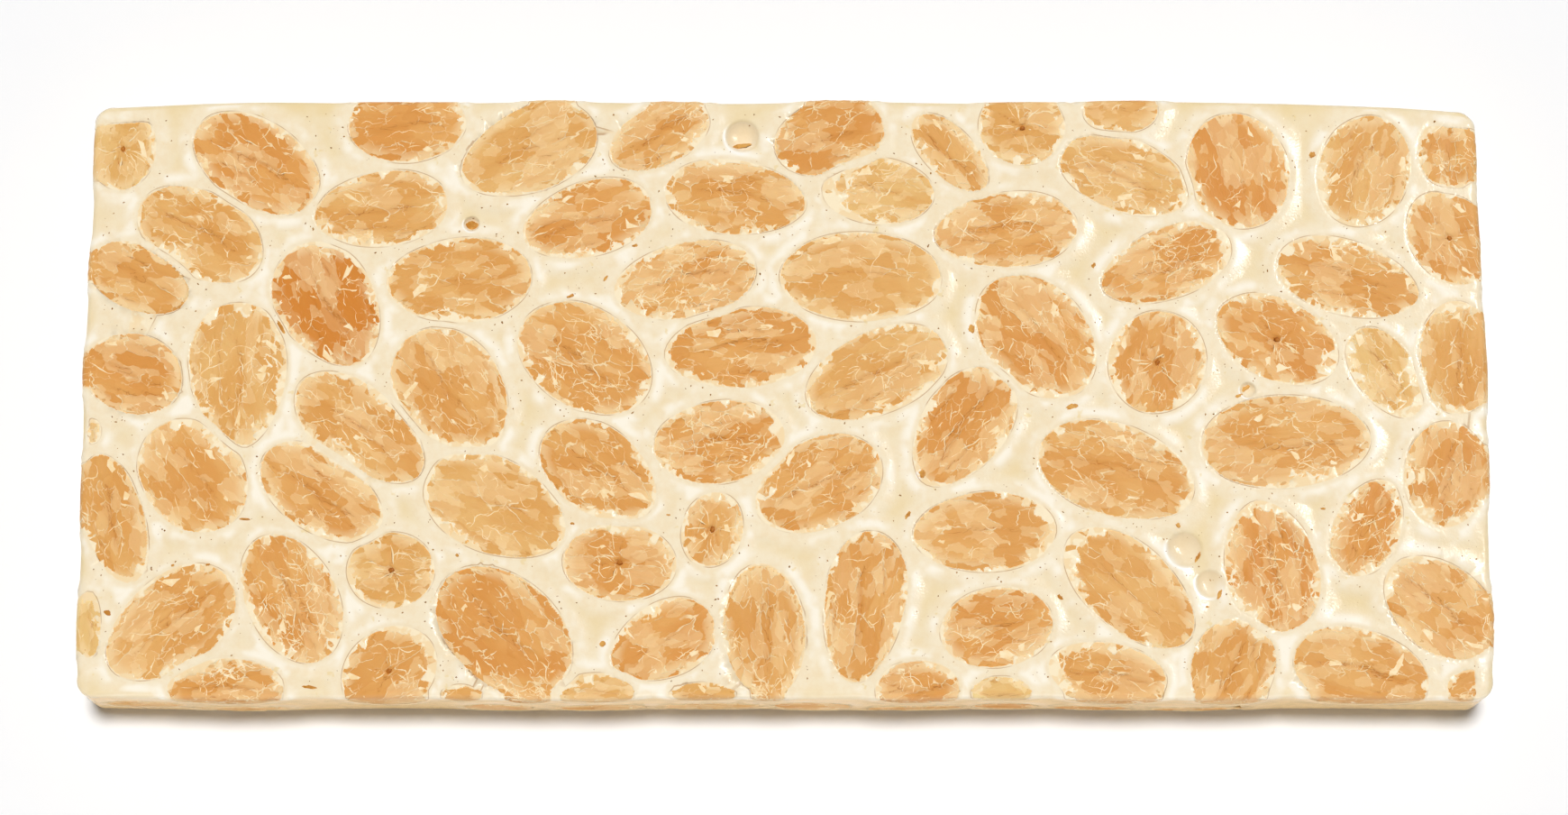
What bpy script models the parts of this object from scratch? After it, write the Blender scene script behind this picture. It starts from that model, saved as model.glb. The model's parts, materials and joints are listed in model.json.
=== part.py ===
"""Alicante turron: one tablet of pale honey nougat packed with whole toasted almonds.

The tablet is a flat slab, sawn square on its four sides and pressed flat above and below. The almonds
that show stand a little proud of the nougat, which sags between them, and those at the rim are cut
through, so their sections show on the sides. It lies flat, with the origin at the centre of its base.
"""
import math
import random

import bmesh
import bpy
from mathutils import Matrix, Vector

MM = 0.001

# The whole tablet, before its sides are bowed
LENGTH = 186.6 * MM
WIDTH = 81.6 * MM
THICKNESS = 14.0 * MM

# How far the almonds stand out of the nougat, above and on the sawn sides
TOP_RELIEF = 0.40 * MM
SIDE_RELIEF = 0.18 * MM

# The nougat block
CORNER_RADIUS = 2.4 * MM
RIM_RADIUS = 1.1 * MM
CUTS_ALONG = 12
CUTS_ACROSS = 6

# The tablet narrows slightly towards the back, its ends bow outwards, and its back right corner is
# cut lower
BACK_NARROWING = 0.3 * MM
END_BOW = 0.5 * MM
BACK_LEFT_DROP = 0.7 * MM
BACK_RIGHT_DROP = 1.7 * MM
CORNER_DROP_REACH = 30.0 * MM
EDGE_WAVE = 0.12 * MM
WAVE_LENGTH = 41.0 * MM

# An almond's own form
ALMOND_DEPTH = 1.6 * MM
ALMOND_TAPER = 0.10
RIM_SLOPE = 0.955
RIM_ROUNDING = 0.16 * MM
DOME_RISE = 0.12 * MM
LARGE_SIDES = 14
SMALL_SIDES = 10
SMALL_LENGTH = 9.0 * MM
EDGE_INSET = 0.55 * MM

# The sections that show on the sawn sides
SECTION_SIDES = 10
SECTION_MARGIN = 1.0 * MM
SECTION_RIM_GAP = 0.3 * MM
SECTION_LOW = RIM_RADIUS + SECTION_RIM_GAP
SECTION_HIGH = THICKNESS - TOP_RELIEF - RIM_RADIUS - SECTION_RIM_GAP
SECTION_TILT = 6.0
SIDE_SEED = 7

# Sections that hang from the upper rim, under an almond that the side cuts: their depth is a share
# of the almond's width, and their centre lies a share of that depth below the rim
HANGING_DEPTH = 0.62
HANGING_DROP = 0.45
SHORTEST_SECTION = 4.0 * MM
CHORD_STEPS = 48

# Sections that fill the rest of a side
FILL_LENGTHS = (8.5 * MM, 15.5 * MM)
FILL_HEIGHTS = (6.0 * MM, 8.2 * MM)
LOWEST_FILL_HEIGHT = 3.0 * MM
FILL_GAP = 1.6 * MM
FILL_GAP_SPREAD = (0.6, 1.6)
FILL_OVERLAP = 0.42

# Points of one piece that lie closer than this are one point
WELD = 0.01 * MM
FUSED_WELD = 0.002 * MM
FLAT_ANGLE = 40.0

# Almonds on the upper face, row by row from the back, in millimetres and degrees:
# centre x, centre y, length, width, turn of the long axis from +X
TOP_ALMONDS = [
    # first row, along the back edge
    (-89.0, 33.8, 11.8, 9.2, 90), (-71.1, 31.9, 19.2, 11.8, -34), (-50.9, 37.0, 16.2, 10.6, 2),
    (-34.5, 33.4, 19.6, 11.6, 22), (-17.0, 35.5, 15.0, 8.4, 28), (6.0, 35.3, 15.4, 10.6, 15),
    (22.2, 33.2, 13.6, 7.0, -47), (31.9, 36.7, 11.9, 10.6, 0), (45.2, 38.9, 10.4, 6.2, 0),
    (60.9, 30.7, 16.4, 13.9, 102), (77.8, 30.7, 16.4, 12.2, 70), (89.4, 33.3, 10.8, 8.6, 80),
    # second row
    (-78.3, 22.0, 18.8, 11.6, -30), (-86.3, 16.0, 15.0, 9.0, -27), (-54.2, 25.4, 18.2, 10.6, 8),
    (-26.5, 24.0, 18.2, 10.4, 17), (-6.6, 27.0, 19.4, 10.4, -7), (12.5, 27.9, 15.2, 9.4, -4),
    (29.6, 22.5, 19.4, 10.6, 5), (45.6, 30.1, 18.4, 10.2, -20), (89.0, 21.5, 13.6, 11.2, -70),
    # third row
    (-61.0, 12.2, 18.5, 13.0, -58), (-43.5, 15.6, 19.6, 11.8, 3), (-13.4, 15.6, 19.4, 10.6, 12),
    (10.1, 16.1, 21.8, 12.4, -1), (51.0, 17.9, 18.6, 9.8, 22), (75.2, 16.0, 19.4, 10.6, -14),
    # fourth row, through the middle
    (-86.7, 2.9, 13.8, 11.0, -20), (-72.8, 2.7, 20.0, 13.0, -86), (-44.4, 0.7, 18.6, 13.8, -52),
    (-26.7, 5.1, 19.5, 13.8, -32), (-5.9, 6.4, 20.2, 11.0, 6), (12.1, 3.0, 20.2, 11.4, 24),
    (33.5, 8.0, 19.0, 14.0, -52), (49.6, 4.5, 14.2, 13.0, 70), (65.6, 7.6, 17.2, 11.4, -27),
    (80.0, 3.0, 13.8, 8.4, -57), (89.6, 5.1, 15.9, 10.6, 85), (-92.0, -4.9, 3.6, 2.6, 90),
    # fifth row
    (-56.4, -4.5, 20.6, 11.0, -38), (-78.5, -10.9, 16.6, 13.6, -52), (-61.3, -13.2, 18.6, 10.8, -35),
    (-38.3, -15.0, 20.0, 12.8, -25), (-24.6, -10.3, 17.5, 11.6, -38), (-8.7, -6.3, 17.6, 11.4, 8),
    (4.4, -12.1, 18.0, 12.2, 27), (23.6, -4.4, 18.2, 11.4, 55), (44.0, -10.2, 21.6, 12.6, -18),
    (66.5, -6.3, 22.8, 12.8, 3), (87.6, -10.7, 14.8, 11.2, 82), (-88.6, -16.7, 18.6, 8.0, 106),
    # sixth row
    (-65.0, -27.3, 18.8, 12.0, -62), (-52.0, -23.5, 11.8, 10.4, 0), (-21.8, -22.5, 15.3, 10.6, -4),
    (-9.6, -18.1, 10.4, 8.2, 75), (26.4, -18.4, 19.2, 11.0, 3), (45.5, -25.9, 20.6, 11.6, -42),
    (64.2, -23.0, 18.0, 12.4, -78), (77.0, -17.8, 14.2, 8.8, 66), (-91.6, -30.8, 9.4, 3.2, 92),
    # seventh row, above the front edge
    (-80.9, -30.6, 19.8, 12.4, 40), (-37.0, -31.5, 21.2, 14.2, -42), (-16.1, -32.9, 14.8, 10.2, 26),
    (-2.7, -31.4, 18.2, 11.0, 95), (10.4, -28.4, 20.6, 10.8, 81), (27.9, -31.1, 15.2, 11.0, 9),
    (86.2, -28.4, 16.6, 12.0, -40),
    # last row, cut by the front edge
    (-73.5, -38.9, 15.6, 7.4, 0), (-52.0, -36.9, 13.4, 11.2, 38), (-42.5, -40.7, 5.6, 4.2, 0),
    (-24.8, -39.7, 10.2, 5.2, 0), (-10.8, -40.5, 9.0, 4.4, 0), (17.4, -39.1, 11.2, 7.4, 0),
    (28.4, -39.9, 8.2, 4.8, 0), (42.4, -37.3, 16.0, 8.4, -8), (58.9, -36.3, 13.4, 11.2, 72),
    (75.7, -36.7, 18.2, 10.8, -13), (90.0, -38.6, 6.6, 4.0, 12),
]

# Hollows left by air bubbles in the upper face, in millimetres: x, y, radius, depth
BUBBLES = [
    (-5.7, 35.7, 2.3, 0.9), (52.7, -20.7, 2.4, 0.8), (56.0, -25.3, 1.8, 0.5),
    (-42.0, 23.5, 1.1, 0.8), (18.2, -10.6, 0.8, 0.8), (61.3, 0.7, 1.1, 0.7),
]


def clear_scene():
    for obj in list(bpy.data.objects):
        bpy.data.objects.remove(obj)


def make_material(name, colour, roughness):
    material = bpy.data.materials.new(name)
    material.use_nodes = True
    shader = material.node_tree.nodes["Principled BSDF"]
    shader.inputs["Base Color"].default_value = (*colour, 1.0)
    shader.inputs["Roughness"].default_value = roughness
    shader.inputs["Metallic"].default_value = 0.0
    return material


def make_object(name, bm, material, collection):
    mesh = bpy.data.meshes.new(name)
    bm.to_mesh(mesh)
    bm.free()
    mesh.materials.append(material)
    obj = bpy.data.objects.new(name, mesh)
    collection.objects.link(obj)
    return obj


def edge_shift(x, y):
    """How far a point on the plain rectangle moves, in x and y, to follow the tablet's real outline."""
    across = 2.0 * y / WIDTH
    along = 2.0 * x / LENGTH
    towards_back = 0.5 * (1.0 + across)
    shift_x = -along * BACK_NARROWING * towards_back
    shift_x += END_BOW * along * (1.0 - across * across)
    shift_x += EDGE_WAVE * along * math.sin(2.0 * math.pi * y / WAVE_LENGTH + 1.0)
    corner_drop = BACK_RIGHT_DROP if x > 0 else BACK_LEFT_DROP
    near_corner = max(0.0, (abs(x) - (LENGTH / 2 - CORNER_DROP_REACH)) / CORNER_DROP_REACH)
    shift_y = -corner_drop * near_corner ** 2 * towards_back
    shift_y += EDGE_WAVE * across * (math.sin(2.0 * math.pi * x / WAVE_LENGTH) - 1.0)
    return shift_x, shift_y


def rim_edges(bm, z):
    """The edges round the flat face at height z."""
    return [edge for edge in bm.edges
            if all(abs(v.co.z - z) < 1e-6 for v in edge.verts)
            and any(abs(face.normal.z) < 0.5 for face in edge.link_faces)]


def make_nougat(material, collection):
    """The sawn block: rounded corners and rims, cut into a coarse grid and bent to the real outline."""
    height = THICKNESS - TOP_RELIEF
    half_length = LENGTH / 2 - SIDE_RELIEF
    half_width = WIDTH / 2 - SIDE_RELIEF
    bm = bmesh.new()
    bmesh.ops.create_cube(bm, size=1.0)
    bmesh.ops.scale(bm, vec=(2 * half_length, 2 * half_width, height), verts=bm.verts)
    bmesh.ops.translate(bm, vec=(0, 0, height / 2), verts=bm.verts)
    upright = [e for e in bm.edges if abs(e.verts[0].co.z - e.verts[1].co.z) > height / 2]
    bmesh.ops.bevel(bm, geom=upright, offset=CORNER_RADIUS, segments=3, profile=0.5, affect='EDGES')
    bm.normal_update()
    rims = rim_edges(bm, height) + rim_edges(bm, 0.0)
    bmesh.ops.bevel(bm, geom=rims, offset=RIM_RADIUS, segments=2, profile=0.5, affect='EDGES')
    for i in range(1, CUTS_ALONG):
        place = Vector((half_length * (2 * i / CUTS_ALONG - 1), 0, 0))
        geometry = bm.verts[:] + bm.edges[:] + bm.faces[:]
        bmesh.ops.bisect_plane(bm, geom=geometry, plane_co=place, plane_no=(1, 0, 0), dist=1e-7)
    for i in range(1, CUTS_ACROSS):
        place = Vector((0, half_width * (2 * i / CUTS_ACROSS - 1), 0))
        geometry = bm.verts[:] + bm.edges[:] + bm.faces[:]
        bmesh.ops.bisect_plane(bm, geom=geometry, plane_co=place, plane_no=(0, 1, 0), dist=1e-7)
    for vert in bm.verts:
        shift_x, shift_y = edge_shift(vert.co.x, vert.co.y)
        vert.co.x += shift_x
        vert.co.y += shift_y
    return make_object("turron_tablet", bm, material, collection)


def almond_outline(t, length, width):
    """A point on an almond's outline: an ellipse with one end drawn out to a blunt tip."""
    along = 0.5 * length * math.cos(t)
    across = 0.5 * width * math.sin(t) * (1.0 - ALMOND_TAPER * math.cos(t))
    return along, across


def make_almond(name, frame, length, width, turn, sides, relief, limit, material, collection):
    """A low domed button with an almond's outline.

    frame carries the button onto its face: its z axis points out of the nougat. limit is a function
    that keeps an outline point inside the face.
    """
    bm = bmesh.new()
    bmesh.ops.create_cone(bm, cap_ends=True, segments=sides, radius1=1.0, radius2=RIM_SLOPE,
                          depth=ALMOND_DEPTH)
    turn_matrix = Matrix.Rotation(math.radians(turn), 2)
    for vert in bm.verts:
        t = math.atan2(vert.co.y, vert.co.x)
        radius = math.hypot(vert.co.x, vert.co.y)
        flat = turn_matrix @ (Vector(almond_outline(t, length, width)) * radius)
        level = relief - DOME_RISE if vert.co.z > 0 else relief - ALMOND_DEPTH
        vert.co = (flat.x, flat.y, level)
    bm.normal_update()
    cap = max(bm.faces, key=lambda face: face.calc_center_median().z)
    bmesh.ops.bevel(bm, geom=list(cap.edges), offset=RIM_ROUNDING, segments=1, affect='EDGES')
    cap = max(bm.faces, key=lambda face: len(face.verts) * face.calc_center_median().z)
    poked = bmesh.ops.poke(bm, faces=[cap])
    for vert in poked["verts"]:
        vert.co.z += DOME_RISE
    for vert in bm.verts:
        vert.co = frame @ vert.co
        vert.co = limit(vert.co)
    bmesh.ops.remove_doubles(bm, verts=bm.verts, dist=WELD)
    bmesh.ops.recalc_face_normals(bm, faces=bm.faces)
    return make_object(name, bm, material, collection)


def inside_outline(point):
    """Keep a point of an upper almond clear of the tablet's four sides."""
    edge_x = math.copysign(LENGTH / 2, point.x)
    edge_y = math.copysign(WIDTH / 2, point.y)
    limit_x = abs(edge_x + edge_shift(edge_x, point.y)[0]) - EDGE_INSET
    limit_y = abs(edge_y + edge_shift(point.x, edge_y)[1]) - EDGE_INSET
    kept_x = max(-limit_x, min(limit_x, point.x))
    kept_y = max(-limit_y, min(limit_y, point.y))
    return Vector((kept_x, kept_y, point.z))


def make_top_almonds(material, collection):
    level = THICKNESS - TOP_RELIEF
    for i, (x, y, length, width, turn) in enumerate(TOP_ALMONDS):
        sides = SMALL_SIDES if length * MM < SMALL_LENGTH else LARGE_SIDES
        frame = Matrix.Translation((x * MM, y * MM, level))
        make_almond(f"top_almond_{i}", frame, length * MM, width * MM, turn, sides, TOP_RELIEF,
                    inside_outline, material, collection)


def side_frame(turn, reach):
    """The frame of a sawn side: x runs along it, y is up and z points out of the tablet."""
    upright = Matrix.Rotation(math.radians(90), 4, 'X')
    return Matrix.Rotation(math.radians(turn), 4, 'Z') @ Matrix.Translation((0, -reach, 0)) @ upright


def inside_side(point):
    """Keep a point of a section on the flat part of its side, and move it to the real outline."""
    shift_x, shift_y = edge_shift(point.x, point.y)
    height = max(SECTION_LOW, min(SECTION_HIGH, point.z))
    return Vector((point.x + shift_x, point.y + shift_y, height))


def hanging_sections(turn, half_span, reach):
    """Sections of the upper almonds that this side cuts: place along the side, length and depth."""
    found = []
    to_side = Matrix.Rotation(math.radians(-turn), 2)
    for x, y, length, width, almond_turn in TOP_ALMONDS:
        turn_matrix = Matrix.Rotation(math.radians(almond_turn), 2)
        cut = []
        for i in range(CHORD_STEPS):
            outline = almond_outline(2 * math.pi * i / CHORD_STEPS, length * MM, width * MM)
            place = to_side @ (turn_matrix @ Vector(outline) + Vector((x * MM, y * MM)))
            if place.y < -reach + SECTION_MARGIN:
                cut.append(place.x)
        if not cut or max(cut) - min(cut) < SHORTEST_SECTION:
            continue
        chord = max(cut) - min(cut)
        middle = max(-half_span + chord / 2, min(half_span - chord / 2, (max(cut) + min(cut)) / 2))
        found.append((middle, chord, HANGING_DEPTH * min(width * MM, chord)))
    return found


def fill_sections(hanging, half_span, draw):
    """Further sections between and below the hanging ones: place, height, length and width."""
    found = []
    place = -half_span
    while place < half_span - FILL_LENGTHS[0]:
        length = min(draw.uniform(*FILL_LENGTHS), half_span - place)
        width = draw.uniform(*FILL_HEIGHTS)
        middle = place + length / 2
        ceiling = SECTION_HIGH
        for other, chord, depth in hanging:
            if abs(other - middle) < FILL_OVERLAP * (chord + length):
                ceiling = min(ceiling, SECTION_HIGH - depth - FILL_GAP)
        if ceiling - SECTION_LOW > LOWEST_FILL_HEIGHT:
            width = min(width, ceiling - SECTION_LOW)
            height = draw.uniform(SECTION_LOW + width / 2, ceiling - width / 2)
            found.append((middle, height, length, width))
        place += length + FILL_GAP * draw.uniform(*FILL_GAP_SPREAD)
    return found


def make_side_sections(material, collection):
    draw = random.Random(SIDE_SEED)
    sides = ((0, LENGTH, WIDTH), (90, WIDTH, LENGTH), (180, LENGTH, WIDTH), (270, WIDTH, LENGTH))
    for turn, span, across in sides:
        half_span = span / 2 - CORNER_RADIUS - SECTION_MARGIN
        frame = side_frame(turn, across / 2 - SIDE_RELIEF)
        hanging = hanging_sections(turn, half_span, across / 2)
        sections = [(u, SECTION_HIGH - HANGING_DROP * depth, chord, depth) for u, chord, depth in hanging]
        sections += fill_sections(hanging, half_span, draw)
        for i, (place, height, length, width) in enumerate(sections):
            on_side = frame @ Matrix.Translation((place, height, 0))
            tilt = draw.uniform(-SECTION_TILT, SECTION_TILT)
            make_almond(f"side_almond_{turn}_{i}", on_side, length, width, tilt, SECTION_SIDES,
                        SIDE_RELIEF, inside_side, material, collection)


def make_bubbles(material, collection):
    """Balls whose lower caps hollow out the upper face."""
    level = THICKNESS - TOP_RELIEF
    for i, (x, y, radius, depth) in enumerate(BUBBLES):
        ball = (radius ** 2 + depth ** 2) / (2 * depth) * MM
        bm = bmesh.new()
        bmesh.ops.create_uvsphere(bm, u_segments=16, v_segments=16, radius=ball)
        bmesh.ops.translate(bm, vec=(x * MM, y * MM, level + ball - depth * MM), verts=bm.verts)
        make_object(f"bubble_{i}", bm, material, collection)


def fuse(target, collection, operation):
    """Join the collection to the target, or cut it out, and remove the collection's objects."""
    modifier = target.modifiers.new(operation.lower(), 'BOOLEAN')
    modifier.operation = operation
    modifier.operand_type = 'COLLECTION'
    modifier.collection = collection
    modifier.solver = 'EXACT'
    modifier.material_mode = 'TRANSFER'
    bpy.context.view_layer.objects.active = target
    bpy.ops.object.modifier_apply(modifier=modifier.name)
    for obj in list(collection.objects):
        bpy.data.objects.remove(obj)
    bpy.data.collections.remove(collection)


def new_collection(name):
    collection = bpy.data.collections.new(name)
    bpy.context.scene.collection.children.link(collection)
    return collection


def settle(obj):
    """Centre the tablet over the origin with its base on the floor, and shade it."""
    mesh = obj.data
    bm = bmesh.new()
    bm.from_mesh(mesh)
    bmesh.ops.remove_doubles(bm, verts=bm.verts, dist=FUSED_WELD)
    bmesh.ops.dissolve_degenerate(bm, edges=bm.edges, dist=FUSED_WELD)
    low = Vector(min(v.co[axis] for v in bm.verts) for axis in range(3))
    high = Vector(max(v.co[axis] for v in bm.verts) for axis in range(3))
    middle = (low + high) / 2
    bmesh.ops.translate(bm, vec=(-middle.x, -middle.y, -low.z), verts=bm.verts)
    bm.to_mesh(mesh)
    bm.free()
    mesh.shade_smooth()
    mesh.set_sharp_from_angle(angle=math.radians(FLAT_ANGLE))


def main():
    clear_scene()
    nougat = make_material("nougat", (0.93, 0.83, 0.62), 0.42)
    almond = make_material("toasted_almond", (0.79, 0.48, 0.20), 0.55)
    turron = new_collection("alicante_turron")
    almonds = new_collection("almonds")
    bubbles = new_collection("bubbles")
    tablet = make_nougat(nougat, turron)
    make_top_almonds(almond, almonds)
    make_side_sections(almond, almonds)
    fuse(tablet, almonds, 'UNION')
    make_bubbles(nougat, bubbles)
    fuse(tablet, bubbles, 'DIFFERENCE')
    settle(tablet)


main()
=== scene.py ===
"""The looks of one tablet of Alicante turron: honey nougat packed with whole toasted almonds.

Shapes are worked out in millimetres and written to meshes in metres. The nougat is one closed skin:
its upper face, its sawn sides and its base are each laid out flat, given their relief and stitched
together. Every almond is a solid of its own, sunk in the skin, under a ragged film of nougat.
"""
import copy
import json
import math
import random
from collections import namedtuple

import bpy
import numpy as np
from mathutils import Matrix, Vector, geometry

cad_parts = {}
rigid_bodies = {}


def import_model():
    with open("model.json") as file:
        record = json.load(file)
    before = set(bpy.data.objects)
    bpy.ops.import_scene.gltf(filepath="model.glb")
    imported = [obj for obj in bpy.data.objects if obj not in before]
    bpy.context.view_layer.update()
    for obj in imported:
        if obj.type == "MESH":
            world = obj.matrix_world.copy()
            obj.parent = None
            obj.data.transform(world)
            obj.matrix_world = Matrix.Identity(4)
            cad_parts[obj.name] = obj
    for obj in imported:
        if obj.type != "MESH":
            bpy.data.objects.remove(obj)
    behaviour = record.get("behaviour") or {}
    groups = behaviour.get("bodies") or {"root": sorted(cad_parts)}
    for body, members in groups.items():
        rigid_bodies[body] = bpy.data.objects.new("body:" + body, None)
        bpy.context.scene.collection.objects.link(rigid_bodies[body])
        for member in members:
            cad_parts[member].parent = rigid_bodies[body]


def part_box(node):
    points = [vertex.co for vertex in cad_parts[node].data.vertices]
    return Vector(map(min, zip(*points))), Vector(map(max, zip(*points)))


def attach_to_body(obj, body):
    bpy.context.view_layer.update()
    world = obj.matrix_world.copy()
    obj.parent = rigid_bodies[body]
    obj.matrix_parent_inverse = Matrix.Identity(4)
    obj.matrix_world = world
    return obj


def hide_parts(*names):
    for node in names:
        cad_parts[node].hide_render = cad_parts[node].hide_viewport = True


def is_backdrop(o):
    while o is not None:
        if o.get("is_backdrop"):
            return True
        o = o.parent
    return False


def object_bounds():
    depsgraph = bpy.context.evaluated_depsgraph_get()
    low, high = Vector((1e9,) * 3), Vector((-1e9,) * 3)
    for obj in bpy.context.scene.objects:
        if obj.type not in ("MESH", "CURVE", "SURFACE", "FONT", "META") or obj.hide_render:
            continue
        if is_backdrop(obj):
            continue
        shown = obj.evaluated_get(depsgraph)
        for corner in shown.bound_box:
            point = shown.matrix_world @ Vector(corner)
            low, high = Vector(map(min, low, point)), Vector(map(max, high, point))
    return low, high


for leftover in list(bpy.data.objects):
    bpy.data.objects.remove(leftover)

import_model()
cad_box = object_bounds()

MM = 0.001
NODE = "turron_tablet"

# The tablet, from the frame. Its ends bow out past its length by the reach.
NODE_LOW, NODE_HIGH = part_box(NODE)
END_REACH = 0.45
LENGTH = (NODE_HIGH.x - NODE_LOW.x) / MM - 2 * END_REACH
WIDTH = (NODE_HIGH.y - NODE_LOW.y) / MM
THICKNESS = (NODE_HIGH.z - NODE_LOW.z) / MM
CORNER_RADIUS = 2.4
RIM_RADIUS = 1.1

# The outline, as the solid has it
BACK_NARROWING = 0.3
END_BOW = 0.5
BACK_LEFT_DROP = 0.7
BACK_RIGHT_DROP = 1.7
CORNER_DROP_REACH = 30.0
EDGE_WAVE = 0.12
WAVE_LENGTH = 41.0

# Levels of the faces: the mean nougat surface lies this far inside the solid's box
TOP_SINK = 0.12
SIDE_SINK = 0.14
BASE_SINK = 0.03
TOP_LEVEL = THICKNESS - TOP_SINK

# The four sides, in order round the tablet: front, right, back, left. On each, u runs along the side
# and w is 0 where its rim begins to round, above 0 on the upper face and below 0 down the side.
SPANS = (LENGTH, WIDTH, LENGTH, WIDTH)
REACHES = (WIDTH / 2, LENGTH / 2, WIDTH / 2, LENGTH / 2)
ARC = math.pi / 2 * RIM_RADIUS
FLAT_SIDE = THICKNESS - 2 * RIM_RADIUS
SIDE_DEPTH = 2 * ARC + FLAT_SIDE

# How much of the upper face's relief the sides and the base have, and of its threads
SIDE_RELIEF = 0.5
BASE_RELIEF = 0.45
HIDDEN_SHARE = 0.4

# Almonds: the rim of each dips under the nougat and dives beside it, and its face swells to a crown
RIM_DIP = -0.04
RIM_DIVE = 0.14
ALMOND_CREST = 0.0
CROWN = 0.07
ALMOND_ROOT = 0.95
ROOT_SHARE = 0.86
ROOT_MIDDLE = 1.15
RIM_OVERLAP = 0.03
BASE_MARGIN = 5.0
RAY_DEPTH = 0.15
HOLE_DEPTH = 0.45
HOLE_RADIUS = 0.42
GRAIN_SHIFT = 17.3

# The ragged film of nougat on an almond
FILM_LEAST = 0.13
FILM_LIFT = 0.060
FILM_MOST = 0.66
SCALLOP = 1.25
SERRATION = 0.13
PETAL_WIDTHS = (0.7, 2.0)
PETAL_CHANCE = 0.74
TOOTH_WIDTHS = (0.25, 0.6)
NOTCH = 0.25

# Almonds that a sawn side cuts hang their section down that side
HANGING_DEPTH = 0.62
HANGING_EXTRA = 1.0
SHORTEST_CHORD = 3.0

# Almonds are pressed apart in rounds, so that a web of nougat stays between them
WEB = 0.85
PRESS_ROUNDS = 5
PRESS_REACH = 27.0
PRESS_SHARE = 0.55
RIM_CLEAR = 0.35
RIM_PRESS_SHARE = 0.6
LEAST_RADIUS = 0.8

# Sections that fill the rest of a sawn side, by the same rule and the same draws as the solid's
SECTION_MARGIN = 1.0
SECTION_LOW = RIM_RADIUS + 0.3
SECTION_HIGH = THICKNESS - 0.4 - RIM_RADIUS - 0.3
SECTION_TILT = 6.0
SHORTEST_SECTION = 4.0
CHORD_STEPS = 48
SOLID_TAPER = 0.10
FILL_LENGTHS = (8.5, 15.5)
FILL_HEIGHTS = (6.0, 8.2)
LOWEST_FILL_HEIGHT = 3.0
FILL_GAP = 1.6
FILL_GAP_SPREAD = (0.6, 1.6)
FILL_OVERLAP = 0.42
SIDE_SEED = 7

# The nougat: a groove round each almond, a ridge beyond it, and sags where the almonds lie apart
GROOVE = -0.03
RIDGE = 0.02
SAG_START = 0.50
SAG_END = 2.7
SAG_DEPTH = 0.34
UNDER_DEPTH = 0.55

# What a laid-out point stands for: worked out, on the film's ragged edge, or just inside that edge
WORKED_OUT, FILM_EDGE, UNDER_EDGE = 0, 1, 2

# Spacing of the laid-out points, and how much coarser it is on each sheet
ANGLES = 720
TABLE_ANGLES = np.arange(ANGLES) * 2 * np.pi / ANGLES
OUTLINE_POINTS = 1440
TOOTH_SPACING = 0.21
RING_SPACING = 0.62
RING_OFFSETS = (-0.08, 0.04, 0.20, 0.45, 0.95)
OPEN_SPACING = 0.75
OPEN_CLEAR = 1.3
UNDER_SPACING = 2.4
UNDER_STEP = 0.06
EDGE_CLEAR = 0.14
BUBBLE_RINGS = (0.0, 0.35, 0.6, 0.8, 0.92, 1.0, 1.1, 1.25)
STATION_SPACING = 0.65
CORNER_STEPS = 9
SIDE_ROWS = 24
TOP_COARSE = 1.0
SIDE_COARSE = 1.7
BASE_COARSE = 2.7

# Spacing of the nets over the almonds' faces
TOP_NET = 0.36
SIDE_NET = 0.7
BASE_NET = 0.8

# The first two pieces of almonds are split after this one, so that neither is too large
LAST_BACK_ALMOND = 38

# Threads of film, dark slivers of painted shade in the cracks, specks and crumbs
THREAD_STEP = (0.24, 0.62)
THREAD_RISE = 0.38
THREAD_SINK = -0.05
BRANCH_CHANCE = 0.30
STAR_THREADS = 9
BUSIEST = 80.0
CREVICE_STEP = 0.22
CREVICE_SINK = -0.10
CREVICE_RISE = 0.035
SPECKS = 5200
SPECK_HEIGHT = 0.09
CRUMB_SHARE = 0.8
CRUMB_HEIGHT = 0.24

# The camera, fitted to the tablet's outline in the photograph
CAMERA_DISTANCE = 0.583
CAMERA_ELEVATION = 79.0
CAMERA_LENS = 100.73
CAMERA_SENSOR = 36.0
AIM = (-0.00012, -0.0017)

# Light: soft overhead, a bright low band all round, a small key for gloss and a fill on the front side
OVERHEAD_STRENGTH = 3.25
OVERHEAD_SPREAD = 11.5
OVERHEAD_TILT = -7.0
WORLD_LOW, WORLD_HIGH = 6.8, 0.10
WORLD_BAND = math.sin(math.radians(10.5))
KEY_PLACE, KEY_SIZE, KEY_POWER = (0.55, 0.30, 1.0), (0.12, 0.12), 5.0
FILL_PLACE, FILL_SIZE, FILL_POWER = (0.0, -0.70, 0.035), (0.8, 0.05), 1.6
FILL_TARGET = (0.0, -0.04, 0.0)
FLOOR_HALF = 3.0
FLOOR_COLOUR = (0.865, 0.865, 0.87, 1.0)
FLOOR_GLOW = 0.05

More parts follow.
